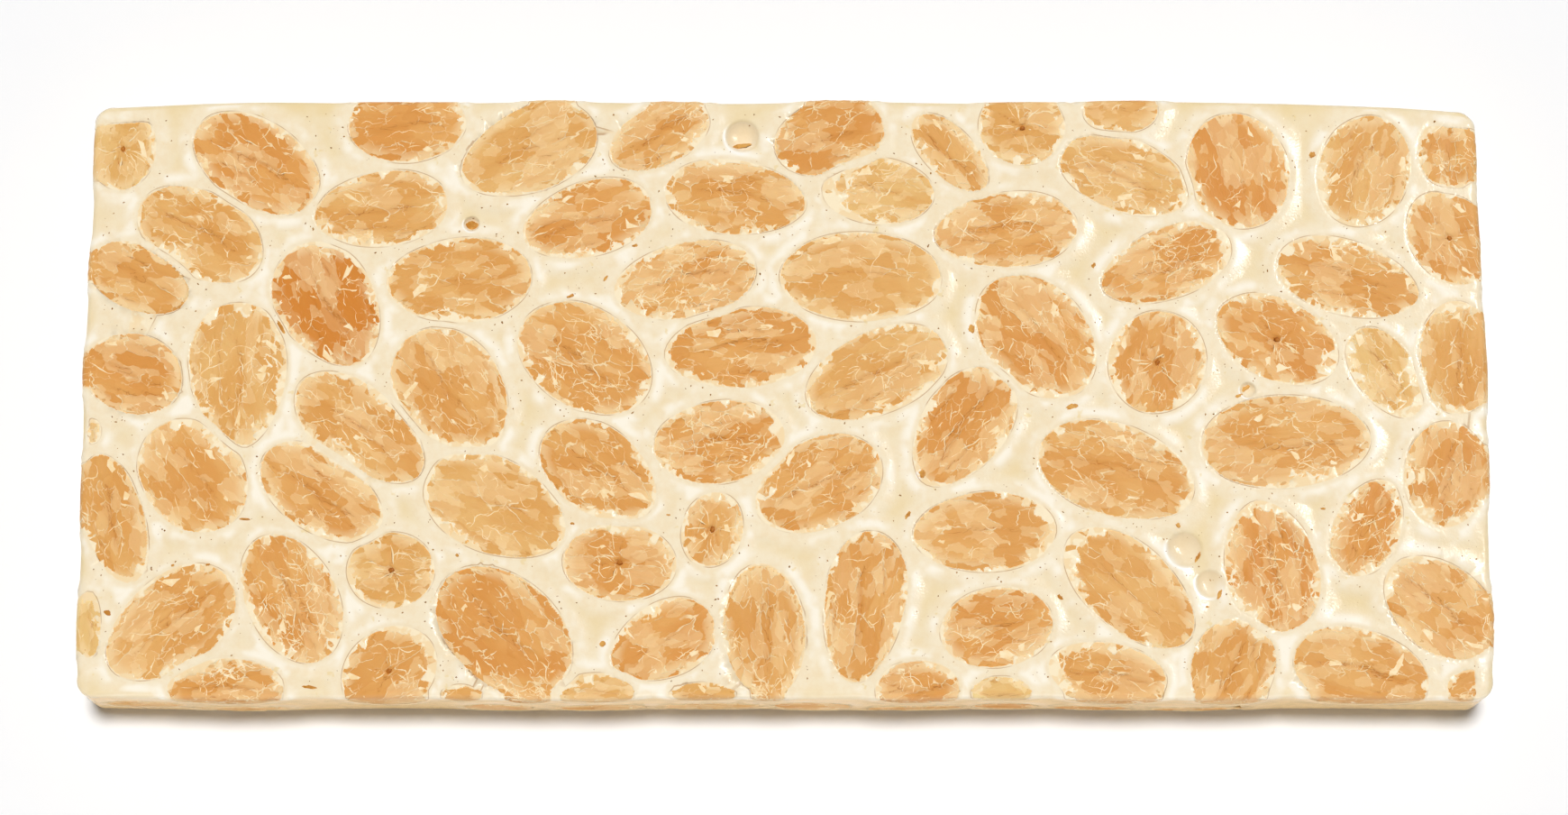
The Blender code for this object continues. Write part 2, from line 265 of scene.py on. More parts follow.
# Colours as they look on screen, from 0 to 255
COLOURS = {
    "nougat": (246, 231, 201),
    "nougat mottle": (243, 224, 189),
    # painted shade in the sags between the almonds
    "nougat sag shade": (238, 215, 166),
    # painted highlight on the ridges round the almonds
    "nougat highlight": (255, 248, 232),
    "nougat stain": (236, 208, 140),
    # the sawn sides: partly their own warmer tone, partly painted shade
    "sawn side tone and shade": (252, 210, 144),
    "film": (251, 234, 199),
    "thin film": (246, 219, 173),
    # painted shade in a bubble's upper half, and a painted highlight on its lower left lip
    "bubble shade": (237, 212, 170),
    "bubble highlight": (255, 251, 242),
    # painted shadow along each almond's rim, where nougat meets almond
    "almond rim shadow": (190, 146, 100),
    "pale almond": (233, 193, 127),
    "toasted almond": (226, 159, 85),
    "pale almond patch": (226, 175, 102),
    "toasted almond patch": (217, 142, 67),
    "sunken almond": (241, 212, 148),
    "darkest almond": (212, 134, 56),
    "pale dark zone": (223, 169, 96),
    "toasted dark zone": (213, 137, 62),
    "light zone": (245, 209, 156),
    "light piece": (247, 214, 160),
    "streak": (214, 146, 70),
    "crack": (190, 112, 40),
    "hair": (251, 224, 176),
    # painted shade in the almonds' creases
    "crease": (206, 136, 60),
    "torn edge": (249, 222, 174),
    "burnt spot": (204, 140, 62),
    "thread": (252, 231, 190),
    "thread mottle": (247, 215, 160),
    # dark slivers that stand for the shade in the almonds' crevices
    "crevice_shade": (198, 128, 50),
    "crevice_shade mottle": (168, 98, 34),
    "speck": (182, 134, 68),
    "speck mottle": (148, 102, 46),
    "crumb": (222, 166, 86),
    "crumb mottle": (192, 128, 50),
}

# Almonds on the upper face, row by row from the back, in millimetres and degrees: centre x, centre y,
# length, width, turn of the long axis from +X, taper (above 0 the tip is at the axis's far end), tint
# from pale to deep, and the kind of face
TOP_ALMONDS = [
    # first row, along the back edge
    (-89.0, 33.8, 11.8, 9.2, 90, 0.0, 0.10, "star"), (-71.1, 31.9, 19.2, 11.8, -34, -0.05, 0.80, "furrow"),
    (-50.9, 37.0, 16.2, 10.6, 2, 0.0, 0.75, "long"), (-34.5, 33.4, 19.6, 11.6, 22, -0.12, 0.35, "long"),
    (-17.0, 35.5, 15.0, 8.4, 28, -0.05, 0.60, "rough"), (6.0, 35.3, 15.4, 10.6, 15, 0.0, 0.72, "rough"),
    (22.2, 33.2, 13.6, 7.0, -47, 0.05, 0.50, "long"), (31.9, 36.7, 11.9, 10.6, 0, 0.0, 0.30, "star"),
    (45.2, 38.9, 10.4, 6.2, 0, 0.0, 0.45, "smooth"), (60.9, 30.7, 16.4, 13.9, 102, 0.0, 0.85, "smooth"),
    (77.8, 30.7, 16.4, 12.2, 70, 0.0, 0.40, "long"), (89.4, 33.3, 10.8, 8.6, 80, 0.0, 0.60, "rough"),
    # second row
    (-78.3, 22.0, 18.8, 11.6, -30, 0.0, 0.45, "long"), (-86.3, 16.0, 15.0, 9.0, -27, 0.0, 0.55, "furrow"),
    (-54.2, 25.4, 18.2, 10.6, 8, -0.10, 0.45, "long"), (-26.5, 24.0, 18.2, 10.4, 17, -0.12, 0.75, "furrow"),
    (-6.6, 27.0, 19.4, 10.4, -7, 0.12, 0.55, "long"), (12.5, 27.9, 15.2, 9.4, -4, 0.0, 0.15, "veiled"),
    (29.6, 22.5, 19.4, 10.6, 5, -0.10, 0.65, "long"), (45.6, 30.1, 18.4, 10.2, -20, 0.0, 0.35, "long"),
    (89.0, 21.5, 13.6, 11.2, -70, 0.0, 0.65, "star"),
    # third row
    (-61.0, 12.2, 18.5, 13.0, -58, 0.14, 1.20, "furrow"), (-43.5, 15.6, 19.6, 11.8, 3, -0.05, 0.50, "smooth"),
    (-13.4, 15.6, 19.4, 10.6, 12, -0.10, 0.65, "rough"), (10.1, 16.1, 21.8, 12.4, -1, 0.0, 0.40, "smooth"),
    (51.0, 17.9, 18.6, 9.8, 22, -0.10, 0.70, "rough"), (75.2, 16.0, 19.4, 10.6, -14, 0.08, 0.60, "long"),
    # fourth row, through the middle
    (-86.7, 2.9, 13.8, 11.0, -20, 0.0, 0.75, "furrow"), (-72.8, 2.7, 20.0, 13.0, -86, 0.20, 0.35, "veiled"),
    (-44.4, 0.7, 18.6, 13.8, -52, 0.10, 0.60, "long"), (-26.7, 5.1, 19.5, 13.8, -32, 0.0, 0.65, "rough"),
    (-5.9, 6.4, 20.2, 11.0, 6, -0.10, 0.70, "furrow"), (12.1, 3.0, 20.2, 11.4, 24, -0.08, 0.40, "long"),
    (33.5, 8.0, 19.0, 14.0, -52, 0.0, 0.75, "long"), (49.6, 4.5, 14.2, 13.0, 70, 0.0, 0.65, "star"),
    (65.6, 7.6, 17.2, 11.4, -27, 0.0, 0.75, "star"), (80.0, 3.0, 13.8, 8.4, -57, 0.10, 0.05, "veiled"),
    (89.6, 5.1, 15.9, 10.6, 85, 0.0, 0.45, "long"), (-92.0, -4.9, 3.6, 2.6, 90, 0.0, -0.30, "smooth"),
    # fifth row
    (-56.4, -4.5, 20.6, 11.0, -38, 0.10, 0.55, "long"), (-78.5, -10.9, 16.6, 13.6, -52, 0.0, 0.65, "smooth"),
    (-61.3, -13.2, 18.6, 10.8, -35, 0.08, 0.65, "furrow"),
    (-38.3, -15.0, 20.0, 12.8, -25, 0.10, 0.35, "smooth"),
    (-24.6, -10.3, 17.5, 11.6, -38, 0.10, 0.60, "long"), (-8.7, -6.3, 17.6, 11.4, 8, 0.0, 0.70, "rough"),
    (4.4, -12.1, 18.0, 12.2, 27, -0.10, 0.65, "long"), (23.6, -4.4, 18.2, 11.4, 55, -0.14, 0.75, "furrow"),
    (44.0, -10.2, 21.6, 12.6, -18, 0.08, 0.60, "long"), (66.5, -6.3, 22.8, 12.8, 3, 0.05, 0.60, "long"),
    (87.6, -10.7, 14.8, 11.2, 82, 0.0, 0.70, "rough"), (-88.6, -16.7, 18.6, 8.0, 106, 0.0, 0.50, "long"),
    # sixth row
    (-65.0, -27.3, 18.8, 12.0, -62, 0.0, 0.70, "rough"), (-52.0, -23.5, 11.8, 10.4, 0, 0.0, 0.30, "star"),
    (-21.8, -22.5, 15.3, 10.6, -4, 0.0, 0.70, "star"), (-9.6, -18.1, 10.4, 8.2, 75, 0.0, 0.55, "star"),
    (26.4, -18.4, 19.2, 11.0, 3, -0.05, 0.60, "smooth"), (45.5, -25.9, 20.6, 11.6, -42, 0.05, 0.50, "smooth"),
    (64.2, -23.0, 18.0, 12.4, -78, -0.10, 0.85, "rough"), (77.0, -17.8, 14.2, 8.8, 66, 0.10, 0.80, "rough"),
    (-91.6, -30.8, 9.4, 3.2, 92, 0.0, -0.45, "smooth"),
    # seventh row, above the front edge
    (-80.9, -30.6, 19.8, 12.4, 40, -0.08, 0.60, "long"), (-37.0, -31.5, 21.2, 14.2, -42, 0.0, 0.75, "rough"),
    (-16.1, -32.9, 14.8, 10.2, 26, -0.15, 0.78, "smooth"), (-2.7, -31.4, 18.2, 11.0, 95, 0.0, 0.55, "rough"),
    (10.4, -28.4, 20.6, 10.8, 81, -0.15, 0.62, "furrow"), (27.9, -31.1, 15.2, 11.0, 9, 0.0, 0.75, "long"),
    (86.2, -28.4, 16.6, 12.0, -40, -0.05, 0.65, "rough"),
    # last row, cut by the front edge
    (-73.5, -38.9, 15.6, 7.4, 0, 0.0, 0.60, "rough"), (-52.0, -36.9, 13.4, 11.2, 38, 0.0, 0.60, "star"),
    (-42.5, -40.7, 5.6, 4.2, 0, 0.0, 0.35, "smooth"), (-24.8, -39.7, 10.2, 5.2, 0, 0.0, 0.30, "smooth"),
    (-10.8, -40.5, 9.0, 4.4, 0, 0.0, 0.20, "smooth"), (17.4, -39.1, 11.2, 7.4, 0, 0.0, 0.70, "rough"),
    (28.4, -39.9, 8.2, 4.8, 0, 0.0, -0.30, "smooth"), (42.4, -37.3, 16.0, 8.4, -8, 0.0, 0.60, "rough"),
    (58.9, -36.3, 13.4, 11.2, 72, 0.0, 0.55, "furrow"), (75.7, -36.7, 18.2, 10.8, -13, 0.08, 0.55, "furrow"),
    (90.0, -38.6, 6.6, 4.0, 12, 0.0, 0.60, "smooth"),
]

# Bubbles in the upper face: x, y, radius, depth
BUBBLES = [
    (-5.7, 35.7, 2.3, 0.85), (52.7, -20.7, 2.4, 0.60), (56.0, -25.3, 1.9, 0.40),
    (-42.0, 23.5, 1.1, 0.70), (18.2, -10.6, 0.8, 0.80), (61.3, 0.7, 1.1, 0.55),
]

# Brown crumbs of almond skin and caramel in the nougat: x, y, length, width, turn
CRUMBS = [
    (-5.7, 34.3, 2.6, 0.7, 10), (54.6, -21.8, 2.2, 0.7, 62), (57.3, -26.8, 1.5, 0.6, 68),
    (-42.0, 23.3, 1.9, 1.3, 0), (18.2, -10.6, 1.3, 1.0, 70), (61.2, 0.9, 2.2, 0.7, 40),
    (60.4, -0.1, 1.1, 0.5, 20), (-89.3, -29.2, 1.4, 0.8, -30), (16.3, -16.1, 1.5, 0.6, 55),
    (36.3, -27.1, 1.2, 0.7, -30), (52.0, -17.5, 1.0, 0.8, -40), (38.2, -1.5, 2.2, 1.0, 15),
    (24.9, 9.0, 0.9, 1.5, 0), (-67.3, 9.4, 2.2, 0.6, -60), (-28.6, 13.5, 1.2, 0.5, 20),
    (-24.0, 15.9, 1.0, 0.5, 50), (-20.0, 20.4, 0.9, 0.5, 10), (41.3, 17.7, 0.9, 0.6, 70),
    (70.9, 32.9, 1.3, 0.9, 20), (-15.5, -16.1, 0.8, 0.5, -20), (-23.9, -33.3, 1.1, 0.9, 0),
    (-43.3, -21.5, 0.6, 0.5, 0), (-44.5, -25.4, 0.9, 0.4, -60), (-62.6, -39.0, 2.2, 0.5, -8),
    (55.7, -28.4, 0.6, 0.4, 0), (71.3, -15.3, 1.0, 0.4, 0), (-80.8, -22.9, 0.6, 0.4, 20),
    (-76.2, -22.8, 0.7, 0.4, 10), (-71.5, -16.7, 2.0, 0.35, -4), (-28.1, -17.3, 0.6, 0.4, 0),
    (17.1, -18.9, 1.0, 0.5, 10), (26.8, -36.3, 1.2, 0.6, 8),
]

Look = namedtuple("Look", "veil teeth creases depth wrinkle rays threads")

# How the film of nougat lies on an almond, and how deep its face is cut, for each kind of face:
# veil (how far the film reaches in on one side), teeth, number of long creases, their depth,
# wrinkle height, rays of a star, and how many pale threads lie on it
LOOKS = {
    "smooth": Look(0.9, 0.8, 2, 0.07, 0.025, 0, 16),
    "long": Look(1.0, 1.0, 6, 0.13, 0.050, 0, 34),
    "furrow": Look(0.8, 1.0, 5, 0.24, 0.045, 0, 28),
    "rough": Look(1.1, 1.3, 5, 0.16, 0.085, 0, 78),
    "star": Look(0.9, 1.1, 1, 0.06, 0.040, 5, 24),
    "veiled": Look(3.2, 1.5, 3, 0.10, 0.045, 0, 44),
}
SIDE_KINDS = ("smooth", "long", "smooth", "furrow", "long")

Crease = namedtuple("Crease", "start offset reach depth breadth phase sway")


def smoothstep(low, high, value):
    """A step from 0 at low to 1 at high, level at both ends."""
    t = np.clip((value - low) / (high - low), 0.0, 1.0)
    return t * t * (3.0 - 2.0 * t)


def noise(x, y, seed):
    """Smooth noise from -1 to 1 with one lump to a unit of x and y."""
    x, y = np.broadcast_arrays(np.asarray(x, float), np.asarray(y, float))
    column = np.floor(x).astype(np.int64)
    row = np.floor(y).astype(np.int64)
    fx = smoothstep(0.0, 1.0, x - column)
    fy = smoothstep(0.0, 1.0, y - row)

    def corner(i, j):
        mixed = (column + i) * 374761393 + (row + j) * 668265263 + int(seed) * 974634777
        mixed = ((mixed ^ (mixed >> 13)) & 0xFFFFFFFF) * 1274126177
        mixed = mixed ^ (mixed >> 16)
        return (mixed & 0xFFFF) / 32767.5 - 1.0

    near = corner(0, 0) * (1 - fx) + corner(1, 0) * fx
    far = corner(0, 1) * (1 - fx) + corner(1, 1) * fx
    return near * (1 - fy) + far * fy


def edge_shift(x, y):
    """How far a point on the plain rectangle moves to follow the tablet's real outline."""
    across = 2.0 * y / WIDTH
    along = 2.0 * x / LENGTH
    towards_back = 0.5 * (1.0 + across)
    shift_x = -along * BACK_NARROWING * towards_back
    shift_x = shift_x + END_BOW * along * (1.0 - across * across)
    shift_x = shift_x + EDGE_WAVE * along * np.sin(2.0 * np.pi * y / WAVE_LENGTH + 1.0)
    corner_drop = np.where(x > 0, BACK_RIGHT_DROP, BACK_LEFT_DROP)
    near_corner = np.maximum(0.0, (np.abs(x) - (LENGTH / 2 - CORNER_DROP_REACH)) / CORNER_DROP_REACH)
    shift_y = -corner_drop * near_corner ** 2 * towards_back
    shift_y = shift_y + EDGE_WAVE * across * (np.sin(2.0 * np.pi * x / WAVE_LENGTH) - 1.0)
    return shift_x, shift_y


def to_plain(x, y):
    """The point on the plain rectangle that the outline's shift carries to x, y."""
    shift_x, shift_y = edge_shift(np.asarray(x, float), np.asarray(y, float))
    return x - shift_x, y - shift_y


def side_axes(side):
    """Unit vectors along a side and out of it."""
    angle = side * math.pi / 2
    return (math.cos(angle), math.sin(angle)), (math.sin(angle), -math.cos(angle))


def top_to_side(side, x, y):
    """A place on the upper face in the layout of a side: u and w."""
    along, out = side_axes(side)
    u = x * along[0] + y * along[1]
    w = REACHES[side] - RIM_RADIUS - (x * out[0] + y * out[1])
    return u, w


def side_to_top(side, u, w):
    """A place in the layout of a side in the layout of the upper face: x and y."""
    along, out = side_axes(side)
    reach = REACHES[side] - RIM_RADIUS - w
    return u * along[0] + reach * out[0], u * along[1] + reach * out[1]


def profile(w, height):
    """Distance out from the rim's start and height above the floor, for a place w down the side."""
    angle = np.clip(-w, 0.0, ARC) / RIM_RADIUS
    radius = RIM_RADIUS - SIDE_SINK + height
    low_angle = np.clip(-w - ARC - FLAT_SIDE, 0.0, ARC) / RIM_RADIUS
    straight = np.clip(-w - ARC, 0.0, FLAT_SIDE)
    out = radius * np.sin(angle) * np.cos(low_angle)
    upper = TOP_LEVEL - RIM_RADIUS + (RIM_RADIUS + height) * np.cos(angle)
    top_of_flat = TOP_LEVEL - RIM_RADIUS
    flat = top_of_flat - straight * (top_of_flat - RIM_RADIUS) / FLAT_SIDE
    lower = RIM_RADIUS - (RIM_RADIUS - BASE_SINK + height) * np.sin(low_angle)
    z = np.where(w >= -ARC, upper, np.where(w >= -ARC - FLAT_SIDE, flat, lower))
    on_top = w > 0
    return np.where(on_top, -w, out), np.where(on_top, TOP_LEVEL + height, z)


def fold(side, u, w, height):
    """Carry a laid-out place on a side, or on the upper face beside it, into the tablet's frame."""
    out_distance, z = profile(w, height)
    x, y = side_to_top(side, u, -out_distance)
    shift_x, shift_y = edge_shift(x, y)
    return np.stack([x + shift_x, y + shift_y, z], axis=-1)


def place_top(x, y, height):
    """Carry a laid-out place on the upper face into the tablet's frame."""
    shift_x, shift_y = edge_shift(x, y)
    return np.stack([x + shift_x, y + shift_y, TOP_LEVEL + height], axis=-1)


def place_base(x, y, height):
    """Carry a laid-out place on the base into the tablet's frame."""
    shift_x, shift_y = edge_shift(x, y)
    return np.stack([x + shift_x, y + shift_y, BASE_SINK - height], axis=-1)


def read_table(table, angle):
    """A value from a table that goes once round the circle."""
    place = np.mod(angle / (2 * np.pi) * ANGLES, ANGLES)
    index = np.floor(place).astype(int) % ANGLES
    part = place - np.floor(place)
    return table[index] * (1 - part) + table[(index + 1) % ANGLES] * part


def radius_table(x, y):
    """Radius for every angle of an outline given as points round the origin."""
    angle = np.mod(np.arctan2(y, x), 2 * np.pi)
    order = np.argsort(angle)
    return np.interp(TABLE_ANGLES, angle[order], np.hypot(x, y)[order], period=2 * np.pi)


def jagged(rng, length, spacing):
    """Straight-sided teeth from 0 to 1 round an outline of this length."""
    steps = rng.uniform(*spacing, int(3 * length / sum(spacing)) + 8)
    knots = np.cumsum(steps)
    knots = knots[knots < length - spacing[0]]
    values = rng.random(len(knots))
    values[::2] *= NOTCH
    return np.interp(TABLE_ANGLES, knots / length * 2 * np.pi, values, period=2 * np.pi)


def petals(rng, length, widths, chance):
    """Separate blunt scraps from 0 to 1 round an outline of this length, with bare gaps between."""
    reach = np.arange(ANGLES) * length / ANGLES
    heights = np.zeros(ANGLES)
    start = 0.0
    while start < length:
        width = rng.uniform(*widths)
        if rng.random() < chance:
            across = (reach - start) / width
            blunt = np.clip(1.0 - np.abs(2.0 * across - 1.0) ** rng.uniform(1.6, 4.0), 0.0, 1.0)
            slant = 1.0 + rng.uniform(-0.8, 0.8) * (across - 0.5)
            tall = rng.uniform(0.35, 1.0)
            heights = np.maximum(heights, tall * slant * blunt ** 0.7)
        start += width * rng.uniform(0.75, 1.25)
    return heights


class Almond:
    """One almond laid out flat: a centre, a radius for every angle, a film and the marks on its face.

    side is None on the upper face and on the base, and the side's number where the almond is laid out
    on a sawn side.
    """

    def __init__(self, x, y, length, width, turn, tip, tint, kind, seed):
        self.x, self.y = x, y
        self.length, self.width = length, width
        self.axis = math.radians(turn)
        self.tint, self.kind, self.seed = tint, kind, seed
        self.look = LOOKS[kind]
        self.side = None
        self.below = False
        self.relief = 1.0
        self.film = np.zeros(ANGLES)
        self.rng = np.random.default_rng(seed * 7919 + 13)
        t = np.linspace(0, 2 * np.pi, OUTLINE_POINTS, endpoint=False)
        along = 0.5 * length * np.cos(t)
        across = 0.5 * width * np.sin(t) * (1.0 - tip * np.cos(t))
        uneven = 1.0 + 0.014 * noise(2.2 * np.cos(t) + 5.0, 2.2 * np.sin(t) + 5.0, seed)
        along, across = along * uneven, across * uneven
        self.outline_x = along * math.cos(self.axis) - across * math.sin(self.axis)
        self.outline_y = along * math.sin(self.axis) + across * math.cos(self.axis)
        self.grain_x, self.grain_y = 0.0, 0.0
        self.set_radius(radius_table(self.outline_x, self.outline_y))

    def set_radius(self, table):
        """Give the almond a radius for every angle, and work out how its outline leans there."""
        self.radius = table
        slope = (np.roll(table, -1) - np.roll(table, 1)) / (4 * np.pi / ANGLES)
        self.lean = 1.0 / np.sqrt(1.0 + (slope / table) ** 2)

    def hang_over(self, side):
        """Cut the almond at the rim of a side and let its section hang down that side."""
        out_x, out_y = self.x + self.outline_x, self.y + self.outline_y
        u, w = top_to_side(side, out_x, out_y)
        limit = SPANS[side] / 2 - CORNER_RADIUS - 0.3
        u = np.clip(u, -limit, limit)
        crossing = u[w < 0.0]
        chord = crossing.max() - crossing.min()
        middle = (crossing.max() + crossing.min()) / 2
        t = np.linspace(0, np.pi, OUTLINE_POINTS // 4)
        depth = HANGING_DEPTH * min(self.width, chord) + HANGING_EXTRA
        lower_u = middle + 0.5 * chord * np.cos(t)
        lower_w = -depth * np.sin(t) ** 0.85
        all_u = np.concatenate([u[w >= 0.0], lower_u]) - middle
        all_w = np.concatenate([w[w >= 0.0], lower_w])
        centre_u, centre_w = top_to_side(side, self.x, self.y)
        self.grain_x, self.grain_y = middle - centre_u, -centre_w
        self.x, self.y = middle, 0.0
        self.axis -= side * math.pi / 2
        self.side = side
        self.set_radius(radius_table(all_u, all_w))

    def on_top(self):
        """The same almond in the upper face's own layout."""
        twin = copy.copy(self)
        if self.side is None:
            return twin
        twin.x, twin.y = side_to_top(self.side, self.x, self.y)
        quarter = self.side * ANGLES // 4
        twin.radius = np.roll(self.radius, quarter)
        twin.lean = np.roll(self.lean, quarter)
        twin.film = np.roll(self.film, quarter)
        return twin

    def on_strip(self):
        """The same almond in the layout of the strip that the four sides make."""
        twin = copy.copy(self)
        twin.x = self.x + SIDE_STARTS[self.side] + SPANS[self.side] / 2 - CORNER_RADIUS
        return twin

    def place(self, x, y, height):
        """Carry a place in the almond's layout into the tablet's frame."""
        if self.side is not None:
            return fold(self.side, x, y, height)
        if self.below:
            return place_base(x, y, height)
        return place_top(x, y, height)

    def polar(self, x, y):
        """Distance and angle of a point from the almond's centre."""
        dx, dy = x - self.x, y - self.y
        return np.hypot(dx, dy), np.arctan2(dy, dx)

    def distance(self, x, y):
        """Distance outside the outline, below 0 inside."""
        rho, angle = self.polar(x, y)
        return (rho - read_table(self.radius, angle)) * read_table(self.lean, angle)

    def point(self, angle, radius):
        """The point at this angle and distance from the almond's centre."""
        return self.x + radius * np.cos(angle), self.y + radius * np.sin(angle)

    def film_edge(self, angle):
        """Radius of the film's ragged edge at this angle."""
        return read_table(self.radius - self.film, angle)

    def local(self, x, y):
        """Place along and across the almond's own axis."""
        dx, dy = x - self.x + self.grain_x, y - self.y + self.grain_y
        along = dx * math.cos(self.axis) + dy * math.sin(self.axis)
        across = dy * math.cos(self.axis) - dx * math.sin(self.axis)
        return along, across

    def from_local(self, along, across):
        """The place that lies this far along and across the almond's own axis."""
        x = self.x - self.grain_x + along * math.cos(self.axis) - across * math.sin(self.axis)
        y = self.y - self.grain_y + along * math.sin(self.axis) + across * math.cos(self.axis)
        return x, y

    def cover(self):
        """Give the almond its film: for every angle, how far the ragged edge reaches in."""
        rng = self.rng
        around = 2 * np.pi * self.radius.mean()
        scraps = petals(rng, around, PETAL_WIDTHS, PETAL_CHANCE)
        small = jagged(rng, around, TOOTH_WIDTHS)
        turn_x, turn_y = 2.1 * np.cos(TABLE_ANGLES) + 9, 2.1 * np.sin(TABLE_ANGLES) + 9
        scalloped = smoothstep(-0.35, 0.35, noise(turn_x, turn_y, self.seed))
        towards = self.axis + rng.choice((0.0, np.pi)) + rng.normal(0.0, 0.8)
        facing = np.maximum(0.0, np.cos(TABLE_ANGLES - towards)) ** 2.5
        ragged = SCALLOP * scraps * (0.08 + 0.92 * scalloped) + SERRATION * small
        film = FILM_LEAST + self.look.teeth * ragged
        film = film + self.look.veil * facing * rng.uniform(0.3, 1.7) * (0.35 + 0.65 * scraps)
        self.film = np.minimum(film, FILM_MOST * self.radius)
        self.mark()

    def mark(self):
        """Choose the creases and rays on the almond's face. The first crease is the main one."""
        rng = self.rng
        self.creases = []
        for number in range(self.look.creases):
            main = number == 0
            reach = self.length * (rng.uniform(0.30, 0.40) if main else rng.uniform(0.08, 0.26))
            start = 0.0 if main else rng.uniform(-0.25, 0.25) * self.length
            offset = rng.uniform(-0.05, 0.05) if main else rng.uniform(-0.36, 0.36)
            share = 1.0 if main else rng.uniform(0.35, 0.75)
            breadth = rng.uniform(0.26, 0.42) if main else rng.uniform(0.14, 0.26)
            phase = rng.uniform(0, 6.28)
            sway = rng.uniform(0.15, 0.45)
            crease = Crease(start, offset * self.width, reach, self.look.depth * share, breadth, phase, sway)
            self.creases.append(crease)
        self.rays = []
        first = rng.uniform(0, 6.28)
        for number in range(self.look.rays):
            angle = first + (number + rng.uniform(-0.25, 0.25)) * 2 * np.pi / self.look.rays
            self.rays.append((angle, rng.uniform(0.22, 0.42) * self.width, rng.uniform(0.10, 0.18)))

    def crease_path(self, crease, along):
        """How far across the almond a crease runs, at each place along it."""
        path = crease.offset + crease.sway * np.sin(along / 1.9 + crease.phase)
        return path + 0.18 * noise(along / 0.8, crease.offset + 3, self.seed)

    def cuts(self, along, across):
        """The creases, the rays and the hole of a star: each one's cut, its depth and the strength of its
        painted shade.
        """
        for crease in self.creases:
            path = self.crease_path(crease, along)
            window = np.clip(1.0 - ((along - crease.start) / crease.reach) ** 2, 0.0, 1.0) ** 0.7
            cut = np.exp(-((across - path) / crease.breadth) ** 2) * window
            # deeper cuts get more painted shade
            yield cut, crease.depth, min(1.0, crease.depth / 0.2)
        for angle, reach, breadth in self.rays:
            out = along * math.cos(angle) + across * math.sin(angle)
            aside = across * math.cos(angle) - along * math.sin(angle)
            aside = aside + 0.16 * noise(out / 0.8, angle * 9, self.seed)
            window = smoothstep(-0.1, 0.2, out) * (1.0 - smoothstep(0.6 * reach, reach, out))
            yield np.exp(-(aside / breadth) ** 2) * window, RAY_DEPTH, 0.65
        if self.rays:
            yield np.exp(-(along ** 2 + across ** 2) / HOLE_RADIUS ** 2), HOLE_DEPTH, 1.0

    def face(self, x, y):
        """Height of the almond's face, how creased it is from 0 to 1, and how far inside the rim it is."""
        rho, angle = self.polar(x, y)
        radius = read_table(self.radius, angle)
        inside = (radius - rho) * read_table(self.lean, angle)
        along, across = self.local(x, y)
        height = RIM_DIP + (ALMOND_CREST - RIM_DIP) * smoothstep(0.0, 1.7, inside)
        height = height + CROWN * (1.0 - np.clip(rho / radius, 0, 1) ** 2)
        folds = noise(along / 3.6, across / 0.62, self.seed)
        folds = folds + 0.5 * noise(along / 1.5, across / 0.34, self.seed + 1)
        height = height + self.look.wrinkle * folds * smoothstep(0.1, 0.8, inside)
        if self.kind == "rough":
            lumps = np.abs(noise(along / 1.1, across / 0.8, self.seed + 2))
            height = height + 0.10 * (lumps - 0.4) * smoothstep(0.2, 1.0, inside)
        crease = np.zeros_like(height)
        for cut, depth, darkness in self.cuts(along, across):
            height = height - depth * cut
            crease = np.maximum(crease, darkness * cut)
        return height, crease, inside


def press_apart(almonds, on_upper_face):
    """Flatten the outlines against each other and the rim, so that a web of nougat stays between."""
    for _ in range(PRESS_ROUNDS):
        tables = []
        for almond in almonds:
            x, y = almond.point(TABLE_ANGLES, almond.radius)
            nearest = np.full(ANGLES, PRESS_REACH)
            for other in almonds:
                apart = math.hypot(other.x - almond.x, other.y - almond.y)
                if other is not almond and apart < PRESS_REACH:
                    nearest = np.minimum(nearest, other.distance(x, y))
            short = PRESS_SHARE * np.maximum(0.0, WEB - nearest)
            if on_upper_face:
                for side in range(4):
                    if side != almond.side:
                        short = np.maximum(short, RIM_PRESS_SHARE * (RIM_CLEAR - top_to_side(side, x, y)[1]))
            table = almond.radius - short
            table = sum(np.roll(table, step) for step in range(-4, 5)) / 9
            tables.append(np.maximum(table, LEAST_RADIUS))
        for almond, table in zip(almonds, tables):
            almond.set_radius(table)


def side_it_crosses(almond):
    """The side whose rim cuts the almond the most, or None."""
    best, found = SHORTEST_CHORD, None
    for side in range(4):
        u, w = top_to_side(side, almond.x + almond.outline_x, almond.y + almond.outline_y)
        crossing = u[w < -RIM_CLEAR]
        if len(crossing) and crossing.max() - crossing.min() > best:
            best, found = crossing.max() - crossing.min(), side
    return found


def make_upper_almonds():
    """The almonds of the upper face. One that a sawn side cuts is laid out on that side."""
    almonds = []
    for number, (x, y, *rest) in enumerate(TOP_ALMONDS):
        plain_x, plain_y = to_plain(x, y)
        almond = Almond(float(plain_x), float(plain_y), *rest, number + 1)
        side = side_it_crosses(almond)
        if side is not None:
            almond.hang_over(side)
        almonds.append(almond)
    return almonds


